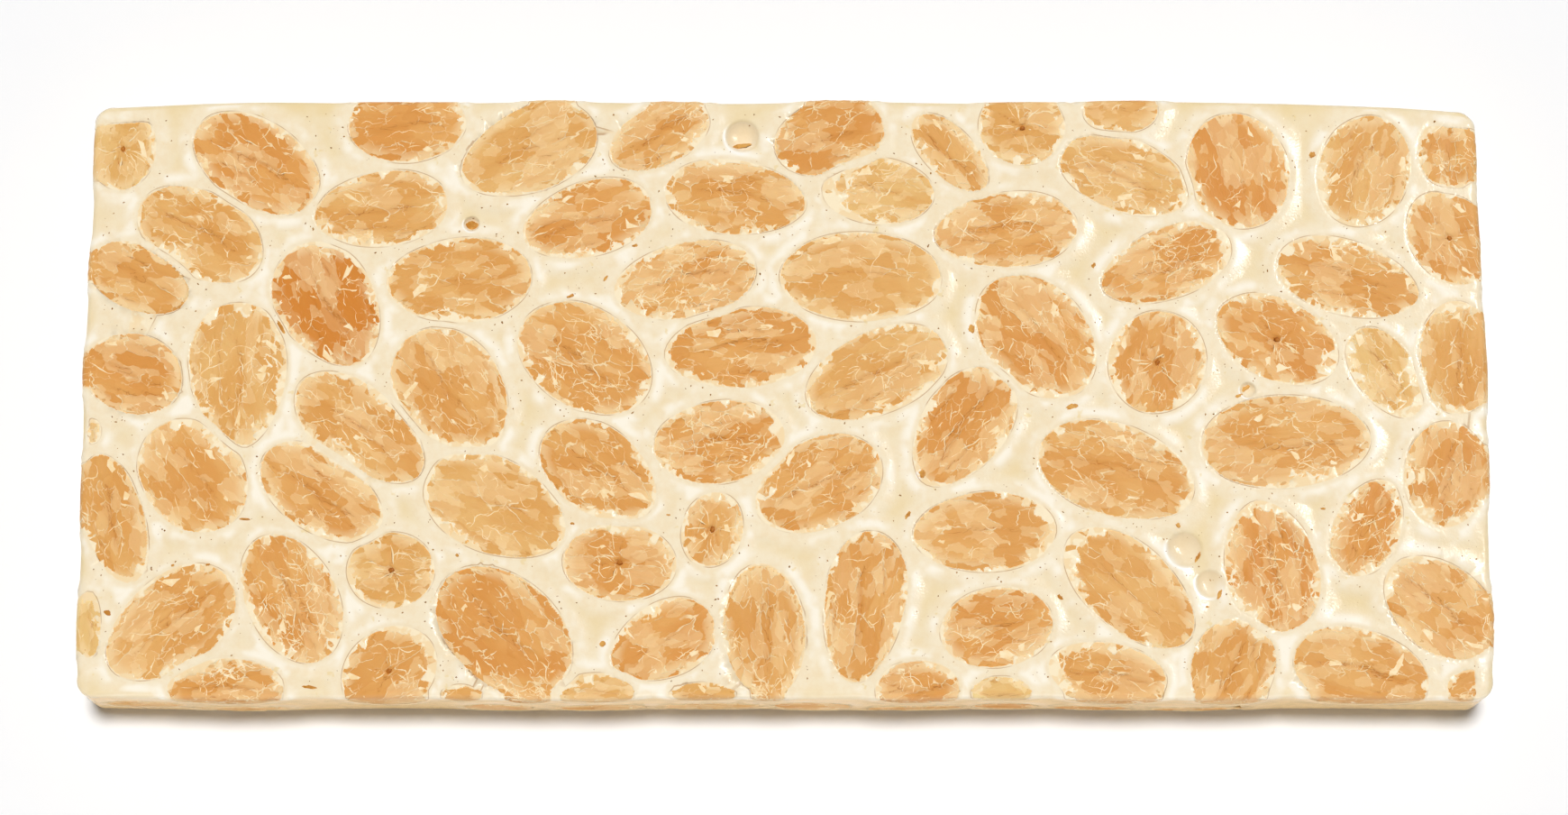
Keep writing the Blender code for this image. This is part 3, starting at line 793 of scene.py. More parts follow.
def hanging_sections(side, half_span, reach):
    """Sections of the upper almonds that this side cuts: place along the side, length and depth."""
    along, out = side_axes(side)
    found = []
    for x, y, length, width, turn, *_ in TOP_ALMONDS:
        t = 2 * np.pi * np.arange(CHORD_STEPS) / CHORD_STEPS
        a = 0.5 * length * np.cos(t)
        b = 0.5 * width * np.sin(t) * (1.0 - SOLID_TAPER * np.cos(t))
        angle = math.radians(turn)
        px = x + a * math.cos(angle) - b * math.sin(angle)
        py = y + a * math.sin(angle) + b * math.cos(angle)
        cut = (px * along[0] + py * along[1])[px * out[0] + py * out[1] > reach - SECTION_MARGIN]
        if len(cut) and cut.max() - cut.min() >= SHORTEST_SECTION:
            chord = cut.max() - cut.min()
            middle = np.clip((cut.max() + cut.min()) / 2, -half_span + chord / 2, half_span - chord / 2)
            found.append((middle, chord, HANGING_DEPTH * min(width, chord)))
    return found


def fill_sections(hanging, half_span, draw):
    """Further sections between and below the hanging ones: place, height, length and width."""
    found = []
    place = -half_span
    while place < half_span - FILL_LENGTHS[0]:
        length = min(draw.uniform(*FILL_LENGTHS), half_span - place)
        width = draw.uniform(*FILL_HEIGHTS)
        middle = place + length / 2
        ceiling = SECTION_HIGH
        for other, chord, depth in hanging:
            if abs(other - middle) < FILL_OVERLAP * (chord + length):
                ceiling = min(ceiling, SECTION_HIGH - depth - FILL_GAP)
        if ceiling - SECTION_LOW > LOWEST_FILL_HEIGHT:
            width = min(width, ceiling - SECTION_LOW)
            height = draw.uniform(SECTION_LOW + width / 2, ceiling - width / 2)
            found.append((middle, height, length, width))
        place += length + FILL_GAP * draw.uniform(*FILL_GAP_SPREAD)
    return found


def make_side_almonds():
    """The sections that lie wholly on a side, side by side in order, each in its side's layout."""
    draw = random.Random(SIDE_SEED)
    sections = []
    for side in range(4):
        half_span = SPANS[side] / 2 - CORNER_RADIUS - SECTION_MARGIN
        hanging = hanging_sections(side, half_span, REACHES[side])
        filled = fill_sections(hanging, half_span, draw)
        tilts = [draw.uniform(-SECTION_TILT, SECTION_TILT) for _ in range(len(hanging) + len(filled))]
        for number, (u, height, length, width) in enumerate(filled):
            w = -(ARC + TOP_LEVEL - RIM_RADIUS - height)
            seed = 200 + 40 * side + number
            tint = 0.15 + 0.6 * (seed * 0.618 % 1.0)
            kind = SIDE_KINDS[seed % len(SIDE_KINDS)]
            tilt = tilts[len(hanging) + number]
            almond = Almond(u, w, length, width, tilt, 0.05, tint, kind, seed)
            almond.side = side
            almond.relief = SIDE_RELIEF
            sections.append(almond)
    return sections


def make_base_almonds():
    """The underside's almonds: as many and as varied as above, laid the other way round."""
    almonds = []
    far_x, far_y = LENGTH / 2, WIDTH / 2
    for number, (x, y, length, width, turn, tip, _, _) in enumerate(TOP_ALMONDS):
        if abs(x) > far_x - 0.3 * length or abs(y) > far_y - 0.2 * width:
            length, width = 0.8 * length, 0.8 * width
        x = float(np.clip(x, -far_x + BASE_MARGIN, far_x - BASE_MARGIN))
        y = float(np.clip(y, -far_y + BASE_MARGIN, far_y - BASE_MARGIN))
        tint, kind = TOP_ALMONDS[(number * 7 + 3) % len(TOP_ALMONDS)][6:]
        almond = Almond(-x, y, length, width, 180 - turn, tip, tint, kind, 400 + number)
        almond.below = True
        almond.relief = BASE_RELIEF
        almonds.append(almond)
    return almonds


def share_almonds():
    """The almonds of the upper face, the sides and the base, pressed apart and covered."""
    upper = make_upper_almonds()
    twins = [almond.on_top() for almond in upper]
    press_apart(twins, True)
    for almond, twin in zip(upper, twins):
        if almond.side is None:
            almond.set_radius(twin.radius)
        else:
            almond.set_radius(np.roll(twin.radius, -almond.side * ANGLES // 4))
    sections = make_side_almonds()
    for side in range(4):
        press_apart([almond for almond in upper + sections if almond.side == side], False)
    base = make_base_almonds()
    press_apart(base, True)
    for almond in upper + sections + base:
        almond.cover()
    return upper, sections, base


def nearest_almond(almonds, x, y):
    """For each point, the distance to the nearest outline and whose outline it is."""
    best = np.full(x.shape, PRESS_REACH)
    owner = np.full(x.shape, -1)
    for i, almond in enumerate(almonds):
        reach = almond.radius.max() + 8.0
        close = np.flatnonzero(np.hypot(x - almond.x, y - almond.y) < reach)
        distance = almond.distance(x[close], y[close])
        better = distance < best[close]
        best[close[better]] = distance[better]
        owner[close[better]] = i
    return best, owner


def nougat_relief(almonds, bubbles, x, y, level, relief):
    """Height of the nougat at each point, distance to the nearest almond, and where it is film."""
    distance, owner = nearest_almond(almonds, x, y)
    lumps = 0.035 * noise(x / 1.9, y / 1.9, 3) + 0.018 * noise(x / 0.7, y / 0.7, 4)
    uneven = 0.5 + 0.5 * noise(x / 3.1, y / 3.1, 5)
    height = GROOVE + (RIDGE * (0.4 + 1.2 * uneven) - GROOVE) * smoothstep(0.0, 0.42, distance)
    height = height - SAG_DEPTH * smoothstep(SAG_START, SAG_END, distance)
    height = height + lumps * smoothstep(0.15, 0.8, distance)
    for cx, cy, radius, depth in bubbles:
        away = np.hypot(x - cx, y - cy)
        height = height - depth * np.clip(1.0 - (away / radius) ** 2, 0.0, 1.0) ** 0.8
        height = height + 0.05 * np.exp(-((away - 1.1 * radius) / 0.25) ** 2)
    film = np.zeros_like(height)
    for number, almond in enumerate(almonds):
        mine = np.flatnonzero((owner == number) & (distance < 0.0))
        if not len(mine):
            continue
        face, _, inside = almond.face(x[mine], y[mine])
        rho, angle = almond.polar(x[mine], y[mine])
        covered = rho > almond.film_edge(angle)
        covered = np.where(level[mine] == WORKED_OUT, covered, level[mine] == FILM_EDGE)
        lift = FILM_LIFT * smoothstep(0.0, 0.25, inside)
        height[mine] = np.where(covered, face + lift, -UNDER_DEPTH / relief)
        film[mine] = 1.0
    return height * relief, distance, film


def bubble_marks(bubbles, x, y):
    """How far each point is in a bubble's upper half, which is given painted shade, and on its lower left
    lip, which is given a painted highlight.
    """
    pit, lip = np.zeros(x.shape), np.zeros(x.shape)
    for cx, cy, radius, _ in bubbles:
        reach = np.hypot(x - cx, y - cy) / radius
        upper = smoothstep(-0.7, 0.6, (y - cy) / radius)
        pit = np.maximum(pit, (1.0 - smoothstep(0.82, 1.0, reach)) * (0.25 + 0.75 * upper))
        leftwards = -(0.75 * (x - cx) + 0.66 * (y - cy)) / np.maximum(0.1, reach * radius)
        lower_left = smoothstep(0.1, 0.8, leftwards)
        lip = np.maximum(lip, np.exp(-((reach - 1.08) / 0.10) ** 2) * lower_left)
    return pit, lip


def round_points(around, spacing, least):
    """Angles evenly round a circle, for points this far apart on it."""
    return np.linspace(0, 2 * np.pi, max(least, int(around / spacing)), endpoint=False)


def almond_batches(almond, coarse):
    """Points on and round an almond: x, y, what they stand for, if they lie in it, least distance."""
    around = 2 * np.pi * almond.radius.mean()
    fine = round_points(around, TOOTH_SPACING * coarse, 24)
    radius, film = read_table(almond.radius, fine), read_table(almond.film, fine)
    yield (*almond.point(fine, radius - film - UNDER_STEP), UNDER_EDGE, True, 0.0)
    yield (*almond.point(fine, radius - film), FILM_EDGE, True, 0.0)
    wide = film > 0.36
    yield (*almond.point(fine[wide], (radius - film + 0.2)[wide]), WORKED_OUT, True, 0.0)
    plain = round_points(around, RING_SPACING * coarse, 16)
    for offset in RING_OFFSETS:
        ring = almond.point(plain, read_table(almond.radius, plain) + offset)
        yield (*ring, WORKED_OUT, offset < 0, 0.8 * offset)
    steps = np.arange(-almond.radius.max(), almond.radius.max(), UNDER_SPACING)
    under_x, under_y = (grid.ravel() for grid in np.meshgrid(steps, steps))
    deep = np.hypot(under_x, under_y) < almond.film_edge(np.arctan2(under_y, under_x)) - 0.6
    yield almond.x + under_x[deep], almond.y + under_y[deep], UNDER_EDGE, True, 0.0


def open_batch(almonds, coarse):
    """Slightly uneven points all over the sheet, for the nougat between the almonds."""
    spans = []
    for centre in ("x", "y"):
        low = min(getattr(almond, centre) - almond.radius.max() for almond in almonds) - 9
        high = max(getattr(almond, centre) + almond.radius.max() for almond in almonds) + 9
        spans.append(np.arange(low, high, OPEN_SPACING * coarse))
    x, y = (grid.ravel() for grid in np.meshgrid(*spans))
    x = x + 0.2 * noise(x * 1.3, y * 1.7, 8)
    return x, y, WORKED_OUT, False, OPEN_CLEAR


def bubble_batches(bubbles):
    """Rings of points in and round each bubble."""
    for cx, cy, radius, _ in bubbles:
        for share in BUBBLE_RINGS:
            reach = share * radius
            t = np.linspace(0, 2 * np.pi, max(1, int(26 * share * radius)), endpoint=False)
            yield cx + reach * np.cos(t), cy + reach * np.sin(t), WORKED_OUT, False, 0.0


def sheet_points(almonds, bubbles, clearance, coarse):
    """Points that catch the ragged films, the grooves and the sags: x, y and what each stands for."""
    found = []

    def keep(batch, number=None):
        x, y, level, within, least = batch
        inside = clearance(x, y) > EDGE_CLEAR
        x, y = x[inside], y[inside]
        distance, owner = nearest_almond(almonds, x, y)
        chosen = (owner == number) & (distance < 0.0) if within else distance > least
        found.append((x[chosen], y[chosen], np.full(chosen.sum(), level)))

    for number, almond in enumerate(almonds):
        for batch in almond_batches(almond, coarse):
            keep(batch, number)
    keep(open_batch(almonds, coarse))
    for batch in bubble_batches(bubbles):
        keep(batch)
    return tuple(np.concatenate(parts) for parts in zip(*found))


def stations():
    """Places round the rim, in order: distance round, base point and direction outwards."""
    around, base, outward = [], [], []
    start = 0.0
    starts = []
    for side in range(4):
        along, out = side_axes(side)
        half = SPANS[side] / 2 - CORNER_RADIUS
        starts.append(start)
        count = int(round(2 * half / STATION_SPACING))
        for u in np.linspace(-half, half, count, endpoint=False):
            around.append(start + u + half)
            base.append((u * along[0] + (REACHES[side] - CORNER_RADIUS) * out[0],
                         u * along[1] + (REACHES[side] - CORNER_RADIUS) * out[1]))
            outward.append(out)
        start += 2 * half
        corner = (half * along[0] + (REACHES[side] - CORNER_RADIUS) * out[0],
                  half * along[1] + (REACHES[side] - CORNER_RADIUS) * out[1])
        for step in range(CORNER_STEPS):
            turn = math.pi / 2 * step / CORNER_STEPS
            around.append(start + CORNER_RADIUS * turn)
            base.append(corner)
            outward.append((out[0] * math.cos(turn) + along[0] * math.sin(turn),
                            out[1] * math.cos(turn) + along[1] * math.sin(turn)))
        start += CORNER_RADIUS * math.pi / 2
    return np.array(around), np.array(base), np.array(outward), starts, start


AROUND, BASES, OUTWARDS, SIDE_STARTS, PERIMETER = stations()
INSET = BASES + OUTWARDS * (CORNER_RADIUS - RIM_RADIUS)


def place_strip(around, w, height):
    """Carry a place on the strip of the four sides into the tablet's frame."""
    side_lengths = [2 * (SPANS[side] / 2 - CORNER_RADIUS) for side in range(4)]
    base_x, base_y = np.zeros_like(around), np.zeros_like(around)
    out_x, out_y = np.zeros_like(around), np.zeros_like(around)
    for side in range(4):
        along, out = side_axes(side)
        place = around - SIDE_STARTS[side]
        turn = np.clip((place - side_lengths[side]) / CORNER_RADIUS, 0.0, math.pi / 2)
        u = np.clip(place, 0.0, side_lengths[side]) - side_lengths[side] / 2
        here = (place >= -1e-9) & (place < side_lengths[side] + CORNER_RADIUS * math.pi / 2 + 1e-9)
        reach = REACHES[side] - CORNER_RADIUS
        base_x = np.where(here, u * along[0] + reach * out[0], base_x)
        base_y = np.where(here, u * along[1] + reach * out[1], base_y)
        out_x = np.where(here, out[0] * np.cos(turn) + along[0] * np.sin(turn), out_x)
        out_y = np.where(here, out[1] * np.cos(turn) + along[1] * np.sin(turn), out_y)
    distance, z = profile(w, height)
    x = base_x + out_x * (CORNER_RADIUS - RIM_RADIUS + distance)
    y = base_y + out_y * (CORNER_RADIUS - RIM_RADIUS + distance)
    shift_x, shift_y = edge_shift(x, y)
    return np.stack([x + shift_x, y + shift_y, z], axis=-1)


def corner_points():
    """Close-set points on the strip where it goes round the four corners."""
    rows = np.arange(-0.5, -SIDE_DEPTH + 0.3, -0.8)
    steps = np.arange(-1, 2 * CORNER_STEPS + 2) / (2 * CORNER_STEPS)
    found = []
    for side in range(4):
        start = SIDE_STARTS[side] + 2 * (SPANS[side] / 2 - CORNER_RADIUS)
        found += [(start + step * CORNER_RADIUS * math.pi / 2, w) for step in steps for w in rows]
    found = np.array([(around, w) for around, w in found if around < PERIMETER - 0.1])
    return found[:, 0], found[:, 1]


def face_clearance(x, y):
    """Distance inside the edge of a laid-out upper or lower face."""
    inset_x, inset_y = LENGTH / 2 - RIM_RADIUS, WIDTH / 2 - RIM_RADIUS
    corner = CORNER_RADIUS - RIM_RADIUS
    past_x = np.maximum(0.0, np.abs(x) - (inset_x - corner))
    past_y = np.maximum(0.0, np.abs(y) - (inset_y - corner))
    square = np.minimum(inset_x - np.abs(x), inset_y - np.abs(y))
    rounded = corner - np.hypot(past_x, past_y)
    return np.where((past_x > 0) & (past_y > 0), rounded, square)


def strip_clearance(x, y):
    """Distance inside the edge of the laid-out strip."""
    return np.minimum(np.minimum(x, PERIMETER - x), np.minimum(-y, SIDE_DEPTH + y))


def triangulate(edge_x, edge_y, x, y, level):
    """Join an edge loop and the points inside it: corner places, triangles and input order."""
    all_x, all_y = np.concatenate([edge_x, x]), np.concatenate([edge_y, y])
    points = [Vector(pair) for pair in zip(all_x.tolist(), all_y.tolist())]
    loop = [list(range(len(edge_x)))]
    corners, _, faces, origins, _, _ = geometry.delaunay_2d_cdt(points, [], loop, 1, 1e-4, True)
    places = np.array([tuple(corner) for corner in corners])
    source = np.array([origin[0] if origin else -1 for origin in origins])
    levels = np.concatenate([np.full(len(edge_x), WORKED_OUT), level])
    level_out = np.where(source >= 0, levels[source], WORKED_OUT)
    return places[:, 0], places[:, 1], np.array([face[:3] for face in faces]), source, level_out


def new_object(name, data):
    """An object of this data, in the scene."""
    obj = bpy.data.objects.new(name, data)
    bpy.context.scene.collection.objects.link(obj)
    return obj


def write_mesh(name, places, faces, numbers=None, vectors=None, smooth=True):
    """Make a mesh object from places in millimetres, with named numbers and vectors at its points."""
    mesh = bpy.data.meshes.new(name)
    mesh.from_pydata((np.asarray(places) * MM).tolist(), [], [list(map(int, face)) for face in faces])
    for key, values in (numbers or {}).items():
        mesh.attributes.new(key, 'FLOAT', 'POINT').data.foreach_set("value", np.asarray(values, float))
    for key, values in (vectors or {}).items():
        flat = np.asarray(values, float).ravel()
        mesh.attributes.new(key, 'FLOAT_VECTOR', 'POINT').data.foreach_set("vector", flat)
    mesh.validate()
    if smooth:
        mesh.shade_smooth()
    else:
        mesh.shade_flat()
    return new_object(name, mesh)


def lay_out(almonds, bubbles, edge, points, relief):
    """One sheet of nougat: x, y and height of its points, its triangles, their sources and numbers."""
    x, y, triangles, source, level = triangulate(*edge, *points)
    height, distance, film = nougat_relief(almonds, bubbles, x, y, level, relief)
    pit, lip = bubble_marks(bubbles, x, y)
    # The bubble marks carry painted shade in a bubble's upper half and a painted highlight on its lip
    numbers = {"rim": distance, "film": film, "relief": height, "pit": pit, "lip": lip}
    return x, y, height, triangles, source, numbers


def edge_index(source):
    """The number of the point that stands at each station of a face's edge."""
    index = np.zeros(len(AROUND), int)
    on_edge = np.flatnonzero((source >= 0) & (source < len(AROUND)))
    index[source[on_edge]] = on_edge
    return index


def strip_edge():
    """The loop round the strip: its upper rim backwards, one end, its lower rim and the other end."""
    column = np.linspace(0, -SIDE_DEPTH, SIDE_ROWS + 1)[1:-1]
    closing = np.append(AROUND, PERIMETER)
    start, end = np.zeros(len(column)), np.full(len(column), PERIMETER)
    edge_x = np.concatenate([closing[::-1], start, closing, end])
    upper, lower = np.zeros(len(closing)), np.full(len(closing), -SIDE_DEPTH)
    edge_y = np.concatenate([upper, column, lower, column[::-1]])
    return edge_x, edge_y


def strip_points(almonds):
    """The points laid out on the strip, with more of them at the corners."""
    x, y, level = sheet_points(almonds, [], strip_clearance, SIDE_COARSE)
    corner_x, corner_y = corner_points()
    level = np.concatenate([level, np.full(len(corner_x), WORKED_OUT)])
    return np.concatenate([x, corner_x]), np.concatenate([y, corner_y]), level


def stitch(source, used, top_edge, base_edge):
    """Number the strip's points: its rims are the faces' edges, and its two ends are one column."""
    count, rows = len(AROUND), SIDE_ROWS - 1
    first_end = count + 1
    lower_rim = first_end + rows
    last_end = lower_rim + count + 1
    index = np.arange(len(source)) + used
    column = {}
    for vertex, origin in enumerate(source):
        if 0 <= origin < first_end:
            index[vertex] = top_edge[(count - origin) % count]
        elif first_end <= origin < lower_rim:
            column[int(origin) - first_end] = vertex
        elif lower_rim <= origin < last_end:
            index[vertex] = base_edge[(origin - lower_rim) % count]
    for vertex, origin in enumerate(source):
        if last_end <= origin < last_end + rows:
            index[vertex] = index[column[rows - 1 - (int(origin) - last_end)]]
    return index


def make_nougat(upper, strip, base):
    """The nougat: upper face, base and strip of the sides, given their relief and stitched together."""
    edge = (INSET[:, 0], INSET[:, 1])

    points = sheet_points(upper, BUBBLES, face_clearance, TOP_COARSE)
    x, y, height, faces, source, numbers = lay_out(upper, BUBBLES, edge, points, 1.0)
    sheets = [(place_top(x, y, height), faces, numbers)]
    top_edge = edge_index(source)
    used = len(x)

    points = sheet_points(base, [], face_clearance, BASE_COARSE)
    x, y, height, faces, source, numbers = lay_out(base, [], edge, points, BASE_RELIEF)
    sheets.append((place_base(x, y, height), faces[:, ::-1] + used, numbers))
    base_edge = edge_index(source) + used
    used += len(x)

    points = strip_points(strip)
    x, y, height, faces, source, numbers = lay_out(strip, [], strip_edge(), points, SIDE_RELIEF)
    index = stitch(source, used, top_edge, base_edge)
    sheets.append((place_strip(x, y, height), index[faces], numbers))

    places, faces, numbers = zip(*sheets)
    kept, faces = np.unique(np.concatenate(faces), return_inverse=True)
    numbers = {key: np.concatenate([part[key] for part in numbers])[kept] for key in numbers[0]}
    return write_mesh("nougat_body", np.concatenate(places)[kept], faces.reshape(-1, 3), numbers)


def face_net(almond, spacing):
    """A net of squares bent to the almond's outline: x, y, its squares, and its border in order."""
    cells = max(8, int(round(max(almond.length, 2.2 * almond.radius.mean()) / spacing)))
    grid = np.linspace(-1.0, 1.0, cells + 1)
    a, b = np.meshgrid(grid, grid, indexing="ij")
    wide = np.abs(a) > np.abs(b)
    safe_a = np.where(np.abs(a) < 1e-9, 1e-9, a)
    safe_b = np.where(np.abs(b) < 1e-9, 1e-9, b)
    rho = np.where(wide, a, b)
    angle = np.where(wide, np.pi / 4 * b / safe_a, np.pi / 2 - np.pi / 4 * a / safe_b)
    angle = angle + almond.axis + np.where(rho < 0, np.pi, 0.0)
    radius = read_table(almond.radius, angle) + RIM_OVERLAP
    x, y = almond.point(angle, np.abs(rho) * radius)
    number = np.arange((cells + 1) ** 2).reshape(cells + 1, cells + 1)
    squares = np.stack([number[:-1, :-1], number[1:, :-1], number[1:, 1:], number[:-1, 1:]], axis=-1)
    sides = [number[:-1, 0], number[-1, :-1], number[:0:-1, -1], number[0, :0:-1]]
    return x.ravel(), y.ravel(), squares.reshape(-1, 4), np.concatenate(sides)


def almond_solid(almond, spacing):
    """One almond: a net over its face, drawn in below to a rounded root."""
    x, y, squares, border = face_net(almond, spacing)
    height, crease, inside = almond.face(x, y)
    height = height - RIM_DIVE * (1.0 - smoothstep(0.0, FILM_LEAST, inside))
    top = almond.place(x, y, height * almond.relief)
    root_x = almond.x + ROOT_SHARE * (x[border] - almond.x)
    root_y = almond.y + ROOT_SHARE * (y[border] - almond.y)
    root = almond.place(root_x, root_y, np.full(len(border), -ALMOND_ROOT))
    depth = np.array([-ROOT_MIDDLE * ALMOND_ROOT])
    middle = almond.place(np.array([almond.x]), np.array([almond.y]), depth)
    places = np.concatenate([top, root, middle])
    ring = np.arange(len(border)) + len(top)
    walls = np.stack([np.roll(border, -1), border, ring, np.roll(ring, -1)], axis=-1)
    fan = np.stack([np.full(len(ring), len(places) - 1), np.roll(ring, -1), ring], axis=-1)
    faces = squares.tolist() + walls.tolist() + fan.tolist()
    spare = len(border) + 1
    numbers = {
        "tint": np.full(len(places), almond.tint),
        "busy": np.full(len(places), almond.look.threads / BUSIEST),
        # how creased each point is, which sets the painted shade in the creases
        "crease": np.append(crease, np.zeros(spare)),
        "inside": np.append(inside, np.zeros(spare)),
    }
    along, across = almond.local(x, y)
    shift = GRAIN_SHIFT * almond.seed
    grain = np.stack([along + shift, across + 0.7 * shift, height], axis=-1)
    grain = np.concatenate([grain, np.zeros((spare, 3))])
    return places, faces, numbers, grain


def plain_solid(places, faces):
    """A solid whose points carry no numbers."""
    return places, faces, {}, np.zeros((len(places), 3))


def join(name, solids, smooth=True):
    """One mesh object from many solids."""
    places, faces, numbers, vectors = [], [], {}, []
    used = 0
    for solid_places, solid_faces, solid_numbers, grain in solids:
        places.append(solid_places)
        faces.extend([corner + used for corner in face] for face in solid_faces)
        for key, values in solid_numbers.items():
            numbers.setdefault(key, []).append(values)
        vectors.append(grain)
        used += len(solid_places)
    numbers = {key: np.concatenate(values) for key, values in numbers.items()}
    grain = {"grain": np.concatenate(vectors)}
    return write_mesh(name, np.concatenate(places), faces, numbers, grain, smooth)


def thread_line(rng, x, y, heading, joints, unrest):
    """The corners of one thread, which runs on with sharp small turns."""
    line = [(x, y)]
    for _ in range(joints):
        heading += rng.normal(0, unrest)
        step = rng.uniform(*THREAD_STEP)
        x += step * math.cos(heading)
        y += step * math.sin(heading)
        line.append((x, y))
    return np.array(line)


def thread_lines(almond, rng, share):
    """The lines of the threads on an almond's face, each with its half width."""
    size = almond.length * almond.width / 200.0
    wild = almond.kind in ("rough", "star")
    lines = []
    for _ in range(int(almond.look.threads * size * share)):
        angle = rng.uniform(0, 2 * np.pi)
        radius = float(almond.film_edge(np.array([angle]))[0])
        x, y = almond.point(angle, radius * math.sqrt(rng.random()) * 0.97)
        long = rng.random() < 0.35
        spread = 0.9 if wild and not long else 0.35
        heading = almond.axis + rng.normal(0, spread) + (np.pi if rng.random() < 0.5 else 0.0)
        joints = int(rng.integers(5, 12) if long else rng.integers(1, 5))
        half_width = rng.uniform(0.06, 0.16)
        line = thread_line(rng, x, y, heading, joints, 0.42)
        lines.append((line, half_width))
        for corner in line[1:-1]:
            if rng.random() < BRANCH_CHANCE:
                aside = heading + rng.choice((-1, 1)) * rng.uniform(0.4, 1.2)
                branch = thread_line(rng, *corner, aside, int(rng.integers(1, 4)), 0.42)
                lines.append((branch, 0.7 * half_width))
    return lines


def star_lines(almond, rng):
    """The lines of the threads that run out from the middle of a star."""
    lines = []
    x, y = almond.from_local(0.0, 0.0)
    for _ in range(STAR_THREADS):
        heading = rng.uniform(0, 2 * np.pi)
        away = rng.uniform(0.5, 1.4)
        start_x, start_y = x + away * math.cos(heading), y + away * math.sin(heading)
        line = thread_line(rng, start_x, start_y, heading, int(rng.integers(3, 8)), 0.22)
        lines.append((line, rng.uniform(0.10, 0.20)))
    return lines


def make_threads(almond, share):
    """Thin pale threads of film that lie on an almond's face, as low ridges with pointed ends."""
    rng = np.random.default_rng(almond.seed * 31 + 5)
    lines = thread_lines(almond, rng, share)
    if almond.rays:
        lines += star_lines(almond, rng)
    solids = []
    for line, half_width in lines:
        if (almond.distance(line[:, 0], line[:, 1]) > -0.12).any():
            continue
        taper = np.sin(np.linspace(0.10, np.pi - 0.10, len(line))) ** 0.7
        half_widths = half_width * taper * rng.uniform(0.7, 1.3, len(line))
        solids.append(ridge_along(almond, line, half_widths, THREAD_SINK, THREAD_RISE * half_widths))
    return solids


def ridge_along(almond, line, half_widths, low, lift):
    """A thin closed ridge along a line on the almond's face, pointed where its width falls to nothing."""
    ahead = np.gradient(line, axis=0)
    ahead /= np.maximum(1e-6, np.hypot(ahead[:, 0], ahead[:, 1]))[:, None]
    aside = np.stack([-ahead[:, 1], ahead[:, 0]], axis=-1)
    face = almond.face(line[:, 0], line[:, 1])[0]
    bottom, top = (face + low) * almond.relief, (face + lift) * almond.relief
    left, right = line + aside * half_widths[:, None], line - aside * half_widths[:, None]
    rows = [(left, bottom), (right, bottom), (line, top)]
    places = np.concatenate([almond.place(row[:, 0], row[:, 1], height) for row, height in rows])
    n = len(line)
    faces = []
    for i in range(n - 1):
        faces.append([i, 2 * n + i, 2 * n + i + 1, i + 1])
        faces.append([2 * n + i, n + i, n + i + 1, 2 * n + i + 1])
        faces.append([n + i, i, i + 1, n + i + 1])
    faces.append([0, n, 2 * n])
    faces.append([n - 1, 3 * n - 1, 2 * n - 1])
    return plain_solid(places, faces)


def open_runs(along, across, is_open):
    """Split a line into the runs of points where it is open."""
    runs = [[]]
    for a, b, here in zip(along, across, is_open):
        if here:
            runs[-1].append((a, b))
        elif runs[-1]:
            runs.append([])
    return [np.array(run) for run in runs if len(run) >= 3]


def make_crevice_shadows(almond):
    """Dark broken slivers along the almond's creases and a dark lump in the hole of a star, standing for the
    shade in those gaps.
    """
    solids = []
    for number, crease in enumerate(almond.creases):
        half = 0.8 * crease.reach
        along = np.arange(crease.start - half, crease.start + half, CREVICE_STEP)
        least = 0.0 if number == 0 else 0.25
        is_open = noise(along / 1.1, crease.offset * 7, almond.seed + 9) > least
        widest = min(0.20, 0.5 * crease.breadth) * (0.45 + 2.2 * crease.depth)
        for run in open_runs(along, almond.crease_path(crease, along), is_open):
            line = np.stack(almond.from_local(run[:, 0], run[:, 1]), axis=-1)
            if (almond.distance(line[:, 0], line[:, 1]) >= -0.9).any():
                continue
            taper = np.sin(np.linspace(0.1, np.pi - 0.1, len(line))) ** 0.6
            uneven = 0.7 + 0.5 * noise(line[:, 0] / 0.5, line[:, 1] / 0.5, almond.seed)
            half_widths = widest * taper * uneven
            solids.append(ridge_along(almond, line, half_widths, CREVICE_SINK, CREVICE_RISE))
    # The dark lump in a star's hole is painted shade
    if almond.rays:
        x, y = almond.from_local(0.0, 0.0)
        solids.append(lump(almond.place, (x, y, -0.24), (0.8, 0.6, 0.4), almond.axis, 10, 5, almond.seed))
    return solids


def make_flakes(almond):
    """Torn scraps of film that lie on the almond inside the ragged edge."""
    rng = np.random.default_rng(almond.seed * 57 + 11)
    count = int(rng.uniform(3, 8) * almond.look.teeth * almond.length / 17.0)
    solids = []
    for _ in range(count):
        angle = rng.uniform(0, 2 * np.pi)
        edge = float(almond.film_edge(np.array([angle]))[0])
        x, y = almond.point(angle, edge - rng.random() ** 1.6 * 0.45 * edge - 0.2)
        corners = int(rng.integers(5, 9))
        t = np.sort(rng.uniform(0, 2 * np.pi, corners))
        size = rng.uniform(0.25, 0.85)
        heading = almond.axis + rng.normal(0, 0.7)
        reach = size * rng.uniform(0.45, 1.5, corners)
        a, b = 1.5 * reach * np.cos(t), 0.7 * reach * np.sin(t)
        px = x + a * math.cos(heading) - b * math.sin(heading)
        py = y + a * math.sin(heading) + b * math.cos(heading)
        if (almond.distance(px, py) > -0.1).any() or np.diff(t).max() > 2.6:
            continue
        face = almond.face(px, py)[0]
        heights = [(face + 0.03) * almond.relief, (face - 0.06) * almond.relief]
        places = np.concatenate([almond.place(px, py, height) for height in heights])
        ring = list(range(corners))
        faces = [ring, [corners + i for i in reversed(ring)]]
        faces += [[i, corners + i, corners + (i + 1) % corners, (i + 1) % corners] for i in ring]
        solids.append(plain_solid(places, faces))
    return solids


